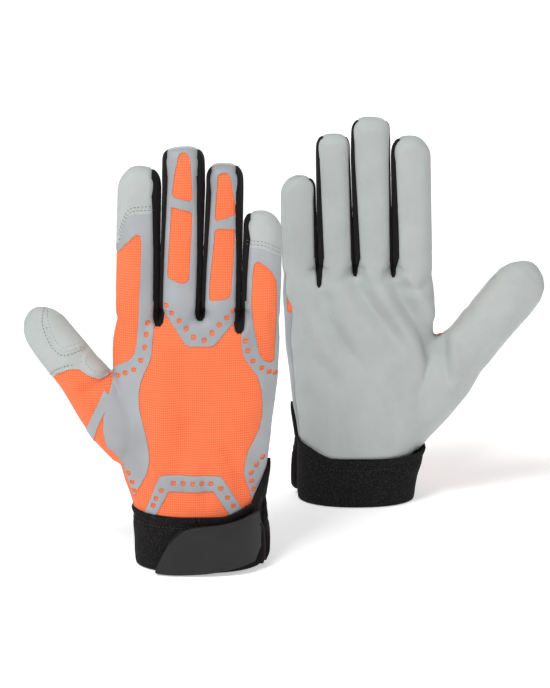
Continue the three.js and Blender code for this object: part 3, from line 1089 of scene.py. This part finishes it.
def on_bend_cut(point, thumb):
    if abs(point.z - SPLIT) < ON_CUT and point.x > -50:
        return True
    if point.x > -44:
        near = min(abs(point.x - leaning(SLITS, k, point.z)) for k in range(3))
        return near < ON_CUT and point.z > SPLIT
    across, along = thumb.local(point)
    return abs(along) < ON_CUT or (abs(across - thumb.crotch) < ON_CUT and along < 9)


def roll_edges(bm, thumb, depth, width):
    """Lowers the skin near its seams and marks the edges that are not seams."""
    rim = [v for v in bm.verts if v.is_boundary and not on_bend_cut(v.co, thumb)]
    for edge in bm.edges:
        if edge.is_boundary:
            edge.smooth = False
    if not rim:
        return
    tree = KDTree(len(rim))
    for i, vert in enumerate(rim):
        tree.insert(vert.co, i)
    tree.balance()
    drops = {vert: -depth * (1 - step(tree.find(vert.co)[2], 0, width)) ** 1.5 for vert in bm.verts}
    lift(bm, drops.get)


def finish_mesh(bm, name, glove, material, slot, shift=0.0):
    """Records the cloth coordinates, moves the mesh to its place and makes the object."""
    if shift:
        lift(bm, shift)
    if "out" in bm.verts.layers.float_vector:
        bm.verts.layers.float_vector.remove(bm.verts.layers.float_vector["out"])
    layer = bm.verts.layers.float_vector.new("cloth_mm")
    for vert in bm.verts:
        vert[layer] = vert.co.copy()
    bm.transform(PLACES[glove])
    for face in bm.faces:
        face.smooth = True
    mesh = bpy.data.meshes.new(name)
    bm.to_mesh(mesh)
    bm.free()
    piece = bpy.data.objects.new(name, mesh)
    mesh.materials.append(material)
    scene.collection.objects.link(piece)
    return piece


def thicken(piece, millimetres, outwards=False):
    made = piece.modifiers.new("thickness", "SOLIDIFY")
    made.thickness = millimetres * MM
    made.offset = 1.0 if outwards else -1.0
    made.use_even_offset = False
    return piece


def attach(piece, part):
    """On the hand it rides on the pair's body; a finger or thumb piece only has its transform baked into its
    mesh.
    """
    if part == "hand":
        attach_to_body(piece, "pair")
        return
    if part == "thumb":
        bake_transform(piece)
        return
    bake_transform(piece)


SLOTS = {
    "orange": (orange_knit, "orange_knit"),
    "leather": (goat_leather, "grey_leather"),
    "black": (black_knit, "black_knit"),
    "film": (silver_film, "reflective_film"),
}
print("panel tools ready")

# %% [markdown]
# **Leather caps.** The index and little fingertips and the whole end of the thumb are faced with
# leather on the back too. Each cap is cut from the finger's back panel along a drawn line and stands a
# little proud, since it is sewn over the knit.

# %% Cap lines
CAP_LINES = {
    "index": [(-50, 185), (-42.6, 188), (-41.4, 193), (-40.2, 198), (-38.2, 202.4), (-34, 204.4),
              (-15, 204.6)],
    "little": [(20, 185.8), (29, 185.4), (36, 185.0), (41, 182.6), (46, 179.6), (52, 177)],
}
# In the thumb's own frame, across and along.
THUMB_CAP_LINE = [(-24, 17.2), (-13.5, 19.0), (-7.7, 19.6), (-0.2, 18.0), (4.2, 14.4), (6.4, 8.1),
                  (9.4, 2.6), (13, 0.6), (22, 0.4)]
NAIL_PATCH = [(9.4, 58), (8.9, 49), (4.6, 45.7), (1.7, 39.1), (1.0, 31.4), (2.9, 26.7), (8.1, 24),
              (11.6, 21.4), (22, 19), (22, 58)]
WEB_PATCH = [(20, 19.4), (11.4, 18.8), (7.9, 17.4), (6.2, 14.2), (7.4, 9), (10.2, 3.4), (16, 1.0),
             (22, 1.0)]


def above(line, u, v):
    for (u0, v0), (u1, v1) in zip(line, line[1:]):
        if u0 <= u <= u1:
            return v > v0 + (v1 - v0) * (u - u0) / (u1 - u0)
    return False


def thumb_sheet(thumb):
    """The thumb's drawing frame, stretched to the length of this thumb."""
    return Sheet2D(thumb.base, thumb.across / thumb.scale, thumb.along / thumb.scale)


print("cap lines drawn for", list(CAP_LINES), "and the thumb")

# %% [markdown]
# **Reflective film.** The film's outlines on the back of the hand, with open windows that show the
# knit, and rows of small square holes near its edges. The film is cut from a copy of the knit panel,
# lifted by a hair and given 0.3 mm of thickness, so it follows every fold.

# %% Film outlines
FILM_AREAS = {
    "thumb_side": [
        (-15, 143.5), (-24.3, 143), (-25.0, 134), (-25.6, 126.5), (-27.2, 121.5), (-29.8, 116.4),
        (-32.2, 110),
        (-33.3, 103), (-33.0, 95), (-31.6, 88.5), (-29.4, 80), (-28.0, 72), (-27.7, 66), (-29.2, 58),
        (-32.5, 51.5), (-37.2, 43), (-41.1, 55.6), (-43.2, 61.7), (-47.6, 68.4), (-51.8, 71.5), (-53.4, 80),
        (-53.4, 88), (-51.6, 99), (-48.6, 108.4), (-47.4, 117.2), (-43.0, 120.4), (-38.2, 122.8),
        (-35.4, 126.2), (-34.0, 132), (-33.0, 145), (-31.8, 166), (-30.6, 188), (-31.0, 192.4),
        (-33.4, 193.4),
        (-36.6, 190.4), (-42.9, 183.6), (-60, 183), (-60, 262), (-15, 262)],
    "knuckle": [
        (-6.6, 132.2), (-4.6, 131.5), (7.2, 131.5), (9.2, 132.2), (20.6, 144.9), (26, 147), (26, 262),
        (-25, 262), (-25, 151.5), (-19.4, 150.2)],
    "ulnar": [
        (18, 140), (23.8, 139.4), (24.1, 130), (25.4, 125), (28.8, 119.6), (32.8, 113.6), (34.8, 106.5),
        (35.4, 98), (35.2, 91), (33.6, 83), (30.4, 76), (27.0, 69.8), (25.4, 62.5), (25.0, 57),
        (27.5, 48.6),
        (29.6, 41.5), (30, 28), (62, 28), (62, 262), (18, 262)],
    "wrist": [
        (-32.6, 30), (-23.6, 53.9), (-22.2, 56.6), (-19.4, 57.8), (11.6, 57.6), (13.2, 56.2), (27.6, 30),
        (19.5, 30), (8.2, 48.2), (-17.3, 48.2), (-26.4, 30)],
    "thumb_strip": [
        (-49.6, 103.2), (-52.6, 105.4), (-55.4, 99.5), (-58.0, 94.4), (-61.4, 86.6), (-64.6, 78.8),
        (-66.6, 71),
        (-60.4, 66), (-59.0, 77), (-56.4, 85), (-53.2, 92), (-50, 98.5)],
}
WINDOWS = {
    "middle": [
        [(-9.6, 236.6), (-7.2, 237.8), (-4.6, 236.8), (-3.4, 232.6), (-2.5, 214), (-3.6, 211.3),
         (-12.6, 213.6),
         (-13.5, 215.4), (-13.0, 220), (-11.4, 229.6)],
        [(-14.0, 208.4), (-12.6, 208.0), (-4.2, 206.0), (-2.7, 204.4), (-3.0, 197), (-4.8, 168.2),
         (-6.4, 166.4),
         (-8.8, 166.0), (-15.2, 168.6), (-16.5, 170.6), (-16.2, 176), (-14.8, 196)]],
    "ring": [
        [(11.6, 225.2), (14.0, 226.8), (16.8, 226.4), (18.4, 223.6), (21.2, 206.6), (20.5, 203.6),
         (11.0, 200.6),
         (9.7, 202.0), (10.0, 207)],
        [(9.8, 195.0), (11.2, 196.4), (19.4, 196.2), (20.6, 194.6), (20.0, 184), (18.2, 159.4),
         (16.6, 157.4),
         (8.0, 155.8), (6.2, 157.2), (6.6, 166)]],
    "little": [
        [(30.4, 171.5), (31.2, 176.4), (33.0, 178.2), (36.6, 176.2), (41.0, 171.8), (43.1, 166.6),
         (43.6, 160),
         (43.2, 146), (42.3, 128), (42.0, 121.6), (39.6, 120.6), (36.2, 122.4), (33.6, 126.4), (30.6, 142),
         (29.4, 155)]],
}
HOLES = [
    (-28.0, 143.6), (-28.6, 137.4), (-29.4, 130.6), (-31.6, 123.2), (-35.8, 117.6), (-40.6, 115.4),
    (-44.6, 113.4),
    (-39.8, 56.8), (-37.8, 51.6), (-36.8, 46.6),
    (-17.4, 153.6), (-14.3, 149.6), (-10.4, 145.2), (-6.4, 140.6), (-2.5, 136.4), (3.6, 134.8),
    (7.8, 138.6),
    (11.8, 142.9), (15.9, 146.8), (19.2, 150.4),
    (-14.4, 53.2), (-8.9, 53.2), (-3.6, 53.2), (1.6, 53.2), (6.6, 53.2), (12.0, 50.4), (15.8, 44.8),
    (19.0, 39.4),
    (-21.2, 48.8), (-24.2, 44.0), (-25.8, 39.6),
    (26.2, 134.2), (27.6, 128.8), (30.2, 122.8), (35.0, 118.4), (39.0, 115.8), (42.2, 114.4),
    (35.2, 65.6), (31.8, 62.0), (29.0, 57.8), (29.2, 52.8), (30.2, 47.6),
]
HOLE_SIZE = 1.35  # half of a hole's side


def hole_outline(u, v):
    s = HOLE_SIZE
    return rounded([(u - s, v - s), (u + s, v - s), (u + s, v + s), (u - s, v + s)])


print("film areas:", list(FILM_AREAS), "with", len(HOLES), "small holes")

# %% [markdown]
# The film's cutter keeps what lies inside an area and outside the windows, then punches the holes.

# %% Cutting the film


def film_from(panel, areas, windows):
    """A copy of a panel, cut to the film's outlines, with windows and holes taken out."""
    bm = panel.copy()
    shapes = [FILM_AREAS[name] for name in areas]
    for outline in shapes + windows:
        cut_outline(bm, outline)

    def covered(centre):
        if centre.y > 0.8 and centre.x < 30:
            return False
        held = any(inside(shape, centre.x, centre.z) for shape in shapes)
        return held and not any(inside(shape, centre.x, centre.z) for shape in windows)

    keep_faces(bm, covered)
    if not bm.faces:
        return bm
    low = [min(v.co[i] for v in bm.verts) for i in (0, 2)]
    high = [max(v.co[i] for v in bm.verts) for i in (0, 2)]
    for u, v in HOLES:
        if low[0] - 2 < u < high[0] + 2 and low[1] - 2 < v < high[1] + 2:
            outline = hole_outline(u, v)
            cut_outline(bm, outline, margin=0.9)
            keep_faces(bm, lambda c: not inside(outline, c.x, c.z) or c.y > 0.8)
    return bm


print("film cutter ready")

# %% [markdown]
# Each face of the cut skin is named once for the panel it belongs to. The roll of an edge depends on
# the cloth: its depth and its width.

# %% Naming every face
EDGE = {"orange": (0.75, 2.2), "leather": (0.6, 2.2), "black": (0.45, 1.6)}
SURFACES = {}


STRAY = 9  # square millimetres


def name_faces(bm, thumb):
    """The panel of each face. A stray patch of a few small faces joins the panel around it."""
    names = {f: panel_name(f.calc_center_median(), thumb) for f in bm.faces}
    seen = set()
    for start in bm.faces:
        if start in seen:
            continue
        patch, border = [start], []
        seen.add(start)
        for face in patch:
            for edge in face.edges:
                for other in edge.link_faces:
                    if names[other] != names[start]:
                        border.append(names[other])
                    elif other not in seen:
                        seen.add(other)
                        patch.append(other)
        if border and sum(f.calc_area() for f in patch) < STRAY:
            around = max(sorted(set(border)), key=border.count)
            for face in patch:
                names[face] = around
    return names


PANEL_NAMES = {}
for name, skin in SKINS.items():
    skin.faces.index_update()
    named = name_faces(skin, THUMBS[name])
    PANEL_NAMES[name] = [named[f] for f in skin.faces]
    print(name, "panels:", len(set(PANEL_NAMES[name])))

# %% [markdown]
# A panel is made from its faces, rolled in at its edges, thickened, attached to the pair's body when it
# lies on the hand, and put in the place of the frame's node of the same name. The film is finished the same
# way.

# %% Making a panel or a film


def panel_mesh(glove, panel, finish):
    bm = SKINS[glove].copy()
    thumb = THUMBS[glove]
    named = PANEL_NAMES[glove]
    bmesh.ops.delete(bm, geom=[f for f, at in zip(bm.faces, named) if at != panel], context="FACES")
    roll_edges(bm, thumb, *EDGE[finish])
    return bm


def make_panel(bm, glove, panel, finish, part, thickness=1.1, shift=0.0):
    """A panel of cloth or leather in the place of the frame's node of the same name."""
    piece = finish_mesh(bm, f"{glove}_{panel}_cloth", glove, *SLOTS[finish], shift)
    thicken(piece, thickness)
    attach(piece, part)
    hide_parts(f"{glove}_{panel}")


def make_film(bm, glove, name, part, replaces=False):
    piece = finish_mesh(bm, f"{glove}_{name}_film", glove, *SLOTS["film"], 0.1)
    thicken(piece, 0.3, outwards=True)
    attach(piece, part)
    if replaces:
        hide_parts(f"{glove}_{name}_film")


print("sewing tools ready")

# %% [markdown]
# **Sewing.** The hand has two large panels and four films. Each finger has a knit back, a leather front,
# a black strip and its film, and the thumb has a leather cap with two patches sewn over it.

# %% Sewing both gloves
HAND_FILMS = {
    "thumb_side": ["thumb_side", "thumb_strip"],
    "knuckle": ["knuckle"],
    "ulnar": ["ulnar"],
    "wrist": ["wrist"],
}
FINGER_AREA = {"index": "thumb_side", "middle": "knuckle", "ring": "knuckle", "little": "ulnar"}


def sew_hand(glove):
    back = panel_mesh(glove, "back_panel", "orange")
    for name, areas in HAND_FILMS.items():
        windows = WINDOWS["little"] if name == "ulnar" else []
        make_film(film_from(back, areas, windows), glove, name, "hand", replaces=True)
    make_panel(back, glove, "back_panel", "orange", "hand")
    palm = panel_mesh(glove, "palm_panel", "leather")
    make_panel(palm, glove, "palm_panel", "leather", "hand")


def split_cap(panel, line, sheet=UPRIGHT):
    """Parts a back panel into knit and leather cap along a drawn line."""
    cut_outline(panel, line, sheet, closed=False)
    cap = panel.copy()
    keep_faces(cap, lambda c: above(line, *sheet.flat(c)))
    keep_faces(panel, lambda c: not above(line, *sheet.flat(c)))
    return cap


def sew_finger(glove, finger):
    back = panel_mesh(glove, f"{finger}_back", "orange")
    if finger in CAP_LINES:
        cap = split_cap(back, CAP_LINES[finger])
        make_panel(cap, glove, f"{finger}_tip_cap", "leather", finger, 1.4, 0.4)
    film = film_from(back, [FINGER_AREA[finger]], WINDOWS.get(finger, []))
    make_film(film, glove, finger, finger)
    make_panel(back, glove, f"{finger}_back", "orange", finger)
    front = panel_mesh(glove, f"{finger}_front", "leather")
    make_panel(front, glove, f"{finger}_front", "leather", finger)
    strip = panel_mesh(glove, f"{finger}_fourchette", "black")
    make_panel(strip, glove, f"{finger}_fourchette", "black", finger, 0.9)


def sew_thumb(glove):
    thumb = THUMBS[glove]
    sheet = thumb_sheet(thumb)
    back = panel_mesh(glove, "thumb_back", "orange")
    cap = split_cap(back, THUMB_CAP_LINE, sheet)
    for name, outline in (("nail_patch", NAIL_PATCH), ("web_patch", WEB_PATCH)):
        patch = cap.copy()
        cut_outline(patch, rounded(outline), sheet)
        keep_faces(patch, lambda c: inside(rounded(outline), *sheet.flat(c)))
        roll_edges(patch, thumb, 0.35, 1.4)
        piece = finish_mesh(patch, f"{glove}_thumb_{name}", glove, *SLOTS["leather"], 0.45)
        thicken(piece, 0.4, outwards=True)
        attach(piece, "thumb")
    make_panel(cap, glove, "thumb_cap", "leather", "thumb", 1.4, 0.4)
    film = film_from(back, ["thumb_side", "thumb_strip"], [])
    if film.faces:
        make_film(film, glove, "thumb_root", "thumb")
    make_panel(back, glove, "thumb_back", "orange", "thumb")
    front = panel_mesh(glove, "thumb_front", "leather")
    make_panel(front, glove, "thumb_front", "leather", "thumb", 1.4, 0.2)


for glove in PLACES:
    SURFACES[glove] = BVHTree.FromBMesh(SKINS[glove])
    sew_hand(glove)
    for finger in NAMES:
        sew_finger(glove, finger)
    sew_thumb(glove)
    print(glove, "glove sewn")

# %% [markdown]
# **Cuff.** A doubled elastic band sewn over the glove's lower edge. It is a tube of flattened rings
# with a rolled upper edge, higher at the little finger side where the vent is bound.

# %% The cuff band
# Height, half width, half depth and roundness. The little finger side is a little flatter.
CUFF_STATIONS = [
    (0.35, 37.2, 22.6, 2.2), (3.0, 37.6, 23.0, 2.25), (9.0, 37.8, 23.2, 2.4), (18.0, 37.8, 22.9, 2.5),
    (27.0, 37.9, 22.2, 2.6), (29.4, 37.6, 21.9, 2.6), (31.0, 38.1, 22.1, 2.6), (34.0, 38.7, 22.2, 2.6),
]
FLAT_SIDE = 1.6
THUMB_FLARE = {"front": 0.3, "rear": 5.4}


def cuff_top(x, y):
    back = 33.4 + 1.4 * (abs(x) / 37) ** 2.2 + 6.2 * step(x, 12, 36)
    palm = 30.6 + 2.6 * (abs(x) / 37) ** 2.2 + 6.5 * step(x, 12, 36)
    return back + (palm - back) * step(y, -12, 12)


def make_cuff(glove):
    bm = bmesh.new()
    rings = []
    for z, wide, deep, roundness in CUFF_STATIONS:
        centre = Vector((-0.4, 0, z))
        rings.append(add_ring(bm, centre, X, Y, wide, wide - FLAT_SIDE, deep, roundness))
    for below, higher in zip(rings, rings[1:]):
        bmesh.ops.bridge_loops(bm, edges=below + higher)
    bmesh.ops.subdivide_edges(bm, edges=bm.edges, cuts=2, use_grid_fill=True, smooth=0.6)
    bmesh.ops.recalc_face_normals(bm, faces=bm.faces)
    for vert in bm.verts:
        x, y, z = vert.co
        vert.co.z = z + (cuff_top(x, y) - 34.0) * step(z, 8, 34)
        swell = noise.noise(Vector((x / 14, y / 14, z / 9 + (0 if glove == "front" else 5)))) * 0.5
        around = math.atan2(y, x)
        gather = 0.18 * math.sin(around * 58) * step(z, 27, 33)
        out = Vector((x, y, 0)).normalized()
        vert.co += out * (swell * step(z, 0, 8) + gather)
        vert.co.x -= THUMB_FLARE[glove] * step(z, 4, 36) * step(-x, 8, 36)
    piece = finish_mesh(bm, f"{glove}_cuff_band_cloth", glove, cuff_elastic, "cuff_elastic")
    thicken(piece, 1.9)
    rounding = piece.modifiers.new("rounding", "BEVEL")
    rounding.width = 0.5 * MM
    rounding.segments = 3
    rounding.limit_method = "ANGLE"
    rounding.angle_limit = math.radians(50)
    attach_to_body(piece, "pair")
    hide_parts(f"{glove}_cuff_band")
    return piece


for glove in PLACES:
    cuff = make_cuff(glove)
    print(cuff.name, len(cuff.data.polygons), "faces")

# %% [markdown]
# **Strap.** A tab of coated fabric, sewn at the little finger side and closed over the cuff with hook
# and loop tape. Its free end is cut on a slant. It is a grid laid round the cuff, trimmed along its
# outline, thickened and given a rounded edge.

# %% The strap and its tapes
STRAP_OUTLINE = rounded([
    (-25.6, 1.3), (-24.6, 4.2), (-19.4, 16.0), (-15.4, 21.0), (-11.6, 25.0), (-7.6, 28.0), (-2.0, 29.4),
    (10.2, 30.4),
    (22.4, 32.6), (30.4, 35.4), (34.6, 36.4), (34.6, 8.0), (22, 4.6), (6.8, 2.0), (-8, 0.9), (-22, 0.8)])
HOOK_OUTLINE = [(-23.4, 5), (-2, 2.4), (-2, 26), (-9, 25.0), (-16, 18), (-21.6, 9.0)]
LOOP_OUTLINE = [(-21, 3), (10, 3), (10, 26.5), (-10.6, 26.5), (-17, 20), (-21, 11)]


def cuff_surface(x, z, lift):
    """A point on the back of the cuff at that x and height, lifted off it."""
    wide, deep = 37.9 + lift - (FLAT_SIDE if x > -0.4 else 0), 22.9 + lift
    share = min(0.9995, abs(x + 0.4) / wide)
    return Vector((x, -deep * (1 - share**2.6) ** (1 / 2.6), z))


def wrapped_tab(outline, lift, spacing=0.9):
    bm = bmesh.new()
    us, vs = [p[0] for p in outline], [p[1] for p in outline]
    wide, tall = max(us) - min(us) + 2, max(vs) - min(vs) + 2
    bmesh.ops.create_grid(bm, x_segments=int(wide / spacing), y_segments=int(tall / spacing), size=0.5)
    middle = Vector(((max(us) + min(us)) / 2, 0, (max(vs) + min(vs)) / 2))
    for vert in bm.verts:
        vert.co = middle + Vector((vert.co.x * wide, 0, vert.co.y * tall))
    cut_outline(bm, outline, margin=1.2)
    keep_faces(bm, lambda c: inside(outline, c.x, c.z))
    for vert in bm.verts:
        vert.co = cuff_surface(vert.co.x, vert.co.z, lift)
    bmesh.ops.recalc_face_normals(bm, faces=bm.faces)
    if sum(f.normal.y for f in bm.faces) > 0:
        bmesh.ops.reverse_faces(bm, faces=bm.faces)
    return bm


def round_edge(piece, width, segments=3):
    made = piece.modifiers.new("rounding", "BEVEL")
    made.width = width * MM
    made.segments = segments
    made.limit_method = "ANGLE"
    made.angle_limit = math.radians(45)


def make_strap(glove):
    bm = wrapped_tab(STRAP_OUTLINE, 4.4)
    for vert in bm.verts:
        x, z = vert.co.x, vert.co.z
        vert.co.y += 0.35 * noise.noise(Vector((x / 16, z / 16, 2.0)))
        vert.co.y += 1.1 * step(x, 27, 35)
    strap = finish_mesh(bm, f"{glove}_strap_cloth", glove, strap_leather, "strap_skin")
    thicken(strap, 1.7)
    round_edge(strap, 0.5)
    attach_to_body(strap, f"{glove}_strap")
    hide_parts(f"{glove}_strap_tab")
    tapes = [
        ("hook", HOOK_OUTLINE, 2.6, 1.0, f"{glove}_strap", "strap_hook_patch"),
        ("loop", LOOP_OUTLINE, 1.2, 0.9, "pair", "cuff_loop_patch"),
    ]
    for name, outline, lift_off, thickness, body, node_name in tapes:
        bm = wrapped_tab(outline, lift_off)
        tape = finish_mesh(bm, f"{glove}_{name}_tape", glove, hook_tape, "fastening_tape")
        thicken(tape, thickness)
        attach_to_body(tape, body)
        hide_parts(f"{glove}_{node_name}")


for glove in PLACES:
    make_strap(glove)
    print(glove, "strap made")

# %% [markdown]
# **Vent binding.** At the little finger side the glove has a slit, bound with folded black knit. The
# binding shows as two soft ribs that run from above the wrist to the lower edge of the cuff.

# %% The vent binding


def side_point(glove, x, z, lift):
    """A point on the skin or cuff towards the back, at that x and z."""
    if z < 33:
        return cuff_surface(x, z, lift)
    hit = SURFACES[glove].ray_cast(Vector((x, -60, z)), Y)
    if hit[0] is None:
        return Vector((x, -2.0, z))
    return hit[0] + hit[1] * lift


VENT_RIBS = [
    ([(38.8, 62), (38.0, 58.5), (34.6, 50), (31.4, 41.5), (30.2, 36), (32.4, 29.5), (34.0, 21),
      (34.4, 10), (34.2, 3)], 3.1),
    ([(39.2, 60.5), (38.4, 56), (36.0, 44.5), (34.8, 36.5), (36.0, 28), (36.8, 19), (36.8, 9),
      (36.0, 3.6)], 2.9),
]


def swept_tube(points, radii, sides=14, flatten=0.75):
    bm = bmesh.new()
    rings = []
    for i, point in enumerate(points):
        ahead = points[min(i + 1, len(points) - 1)] - points[max(i - 1, 0)]
        turn = ahead.to_track_quat("Z", "Y").to_matrix().to_4x4()
        place = Matrix.Translation(point) @ turn @ Matrix.Diagonal((radii[i], radii[i] * flatten, 1, 1))
        ring = bmesh.ops.create_circle(bm, cap_ends=False, segments=sides, radius=1.0, matrix=place)["verts"]
        rings.append(edges_of(ring))
    for below, higher in zip(rings, rings[1:]):
        bmesh.ops.bridge_loops(bm, edges=below + higher)
    bmesh.ops.edgeloop_fill(bm, edges=rings[0])
    bmesh.ops.edgeloop_fill(bm, edges=rings[-1])
    bmesh.ops.recalc_face_normals(bm, faces=bm.faces)
    return bm


def fine_path(points, pieces=5):
    """A smooth curve through points, as Catmull and Rom draw it."""
    made = []
    for i in range(len(points) - 1):
        p0, p1 = points[max(i - 1, 0)], points[i]
        p2, p3 = points[i + 1], points[min(i + 2, len(points) - 1)]
        for k in range(pieces):
            t = k / pieces
            made.append(
                0.5 * (2 * p1 + (p2 - p0) * t + (2 * p0 - 5 * p1 + 4 * p2 - p3) * t**2
                       + (3 * p1 - p0 - 3 * p2 + p3) * t**3))
    made.append(points[-1])
    return made


def make_binding(glove):
    for i, (rib, radius) in enumerate(VENT_RIBS):
        path = fine_path([side_point(glove, x, z, 1.0) for x, z in rib])
        count = len(path)
        radii = []
        for k in range(count):
            upper_end = 0.45 + 0.55 * step(k, 0, count * 0.3)
            lower_end = 0.6 + 0.4 * step(count - 1 - k, 0, 4)
            radii.append(radius * upper_end * lower_end)
        bm = swept_tube(path, radii)
        piece = finish_mesh(bm, f"{glove}_vent_rib_{i + 1}", glove, black_knit, "black_knit")
        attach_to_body(piece, "pair")
        if i == 0:
            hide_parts(f"{glove}_vent_binding")


for glove in PLACES:
    make_binding(glove)
    print(glove, "vent bound")

# %% [markdown]
# ** Stitches.** Every stitch is a short rounded bead of thread lying on the cloth. A row follows a
# drawn line, one stitch and a small gap at a time, and the rows of one part are one piece.

# %% Stitch rows
STITCH = 1.3
STITCH_GAP = 0.8


def row_points(points):
    """Middle and direction of each stitch along a line of points."""
    made = []
    carry = 0.0
    for a, b in zip(points, points[1:]):
        length = (b - a).length
        along = (b - a) / length if length else Z
        at = carry
        while at < length:
            made.append((a + along * at, along))
            at += STITCH + STITCH_GAP
        carry = at - length
    return made


def add_stitches(bm, places, thread=0.3):
    for middle, along, normal in places:
        side = along.cross(normal).normalized()
        turn = Matrix((side, normal, along)).transposed().to_4x4()
        size = Matrix.Diagonal((thread, thread, STITCH / 2, 1))
        place = Matrix.Translation(middle) @ turn @ size
        bmesh.ops.create_icosphere(bm, subdivisions=1, radius=1.0, matrix=place)


print("stitches of", STITCH, "mm with gaps of", STITCH_GAP, "mm")

# %% [markdown]
# A row is drawn flat, dropped on the skin and followed stitch by stitch.

# %% Rows on the skin


def on_skin(glove, points, lift):
    """Drops points on the back of the skin."""
    made = []
    for point in points:
        hit = SURFACES[glove].ray_cast(Vector((point.x, -60, point.z)), Y)
        if hit[0] is not None:
            made.append(hit[0] + hit[1] * lift)
    return made


def skin_row(glove, line, lift, sheet=UPRIGHT):
    flat = [sheet.point(u, v) for u, v in line]
    dense = fine_path(flat, 6)
    points = on_skin(glove, dense, lift)
    skin = SURFACES[glove]
    return [(middle, along, skin.find_nearest(middle)[1]) for middle, along in row_points(points)]


def stitch_piece(glove, name, rows, thread, material, slot, part):
    bm = bmesh.new()
    for places in rows:
        add_stitches(bm, places, thread)
    piece = finish_mesh(bm, f"{glove}_{name}_stitches", glove, material, slot)
    if part == "strap":
        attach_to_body(piece, f"{glove}_strap")
    else:
        attach(piece, part)


print("row tools ready")

# %% [markdown]
# The leather caps are sewn with two rows of grey thread, and the thumb's patches with one each.

# %% Cap and thumb stitches
INDEX_ROWS = [[(-42.4, 190.2), (-41.0, 196.6), (-38.4, 203.2), (-33.6, 206.2), (-24.2, 206.4)],
              [(-42.8, 193.0), (-41.0, 199.4), (-38.2, 205.6), (-33.4, 208.2), (-24.2, 208.4)]]
LITTLE_ROWS = [[(27.6, 187.4), (36, 186.9), (41, 184.6), (45.2, 181.8)], [(27.6, 189.4), (36, 188.9),
               (41.4, 186.6), (45.2, 184)]]
THUMB_ROWS = [
    [(-12.6, 20.8), (-7.0, 21.6), (-0.2, 20.2), (4.0, 17.4)],
    [(10.4, 50.4), (7.0, 47.0), (3.9, 39.0), (3.2, 32.0), (4.8, 28.2), (8.8, 26.0), (12.6, 23.8)],
    [(7.2, 50.4), (3.4, 46.6), (0.3, 39.2), (-0.4, 31.2), (1.8, 25.6), (7.4, 22.4), (12.0, 20.4)],
    [(12.2, 16.6), (9.6, 15.4), (8.4, 12.8), (9.2, 9.2), (11.6, 5.0)],
]

for glove in PLACES:
    sewn = [
        ("index_cap", INDEX_ROWS, 0.5, UPRIGHT, "index"),
        ("little_cap", LITTLE_ROWS, 0.5, UPRIGHT, "little"),
        ("thumb", THUMB_ROWS, 0.75, thumb_sheet(THUMBS[glove]), "thumb"),
    ]
    for name, lines, raised, sheet, part in sewn:
        rows = [skin_row(glove, line, raised, sheet) for line in lines]
        stitch_piece(glove, name, rows, 0.2, grey_thread, "grey_leather", part)
    print(glove, "stitched")

# %% [markdown]
# The cuff's hem is held by one row of black stitches all round, and the strap has a row inside its
# upper and slanted edge.

# %% Cuff and strap stitches


def cuff_row(z_drop):
    points = []
    for k in range(0, 361, 3):
        angle = math.radians(k)
        c, s = math.cos(angle), math.sin(angle)
        x = -0.4 + 37.9 * math.copysign(abs(c) ** (2 / 2.6), c)
        y = 22.4 * math.copysign(abs(s) ** (2 / 2.6), s)
        points.append(Vector((x, y, cuff_top(x, y) - z_drop)))
    places = []
    for middle, along in row_points(points):
        out = Vector((middle.x / 37.9**2, middle.y / 22.4**2, 0)).normalized()
        places.append((middle + out * 0.3, along, out))
    return places


STRAP_ROW = [(-22.6, 5.0), (-17.2, 16.4), (-10.2, 23.8), (-6.0, 26.2), (-1.6, 27.2), (10.4, 28.2),
             (22.6, 30.4), (31, 33)]


def strap_row():
    flat = fine_path([Vector((u, 0, v)) for u, v in STRAP_ROW], 5)
    points = [cuff_surface(p.x, p.z, 4.45) for p in flat]
    return [(m, a, Vector((m.x / 42**2, m.y / 27**2, 0)).normalized()) for m, a in row_points(points)]


for glove in PLACES:
    stitch_piece(glove, "cuff_hem", [cuff_row(6.2)], 0.24, black_thread, "cuff_elastic", "hand")
    stitch_piece(glove, "strap_edge", [strap_row()], 0.18, black_thread, "strap_skin", "strap")
    print(glove, "cuff stitched")

# %% [markdown]
# Last, the skins that the panels were cut from are let go.

# %% Finish
for skin in SKINS.values():
    skin.free()
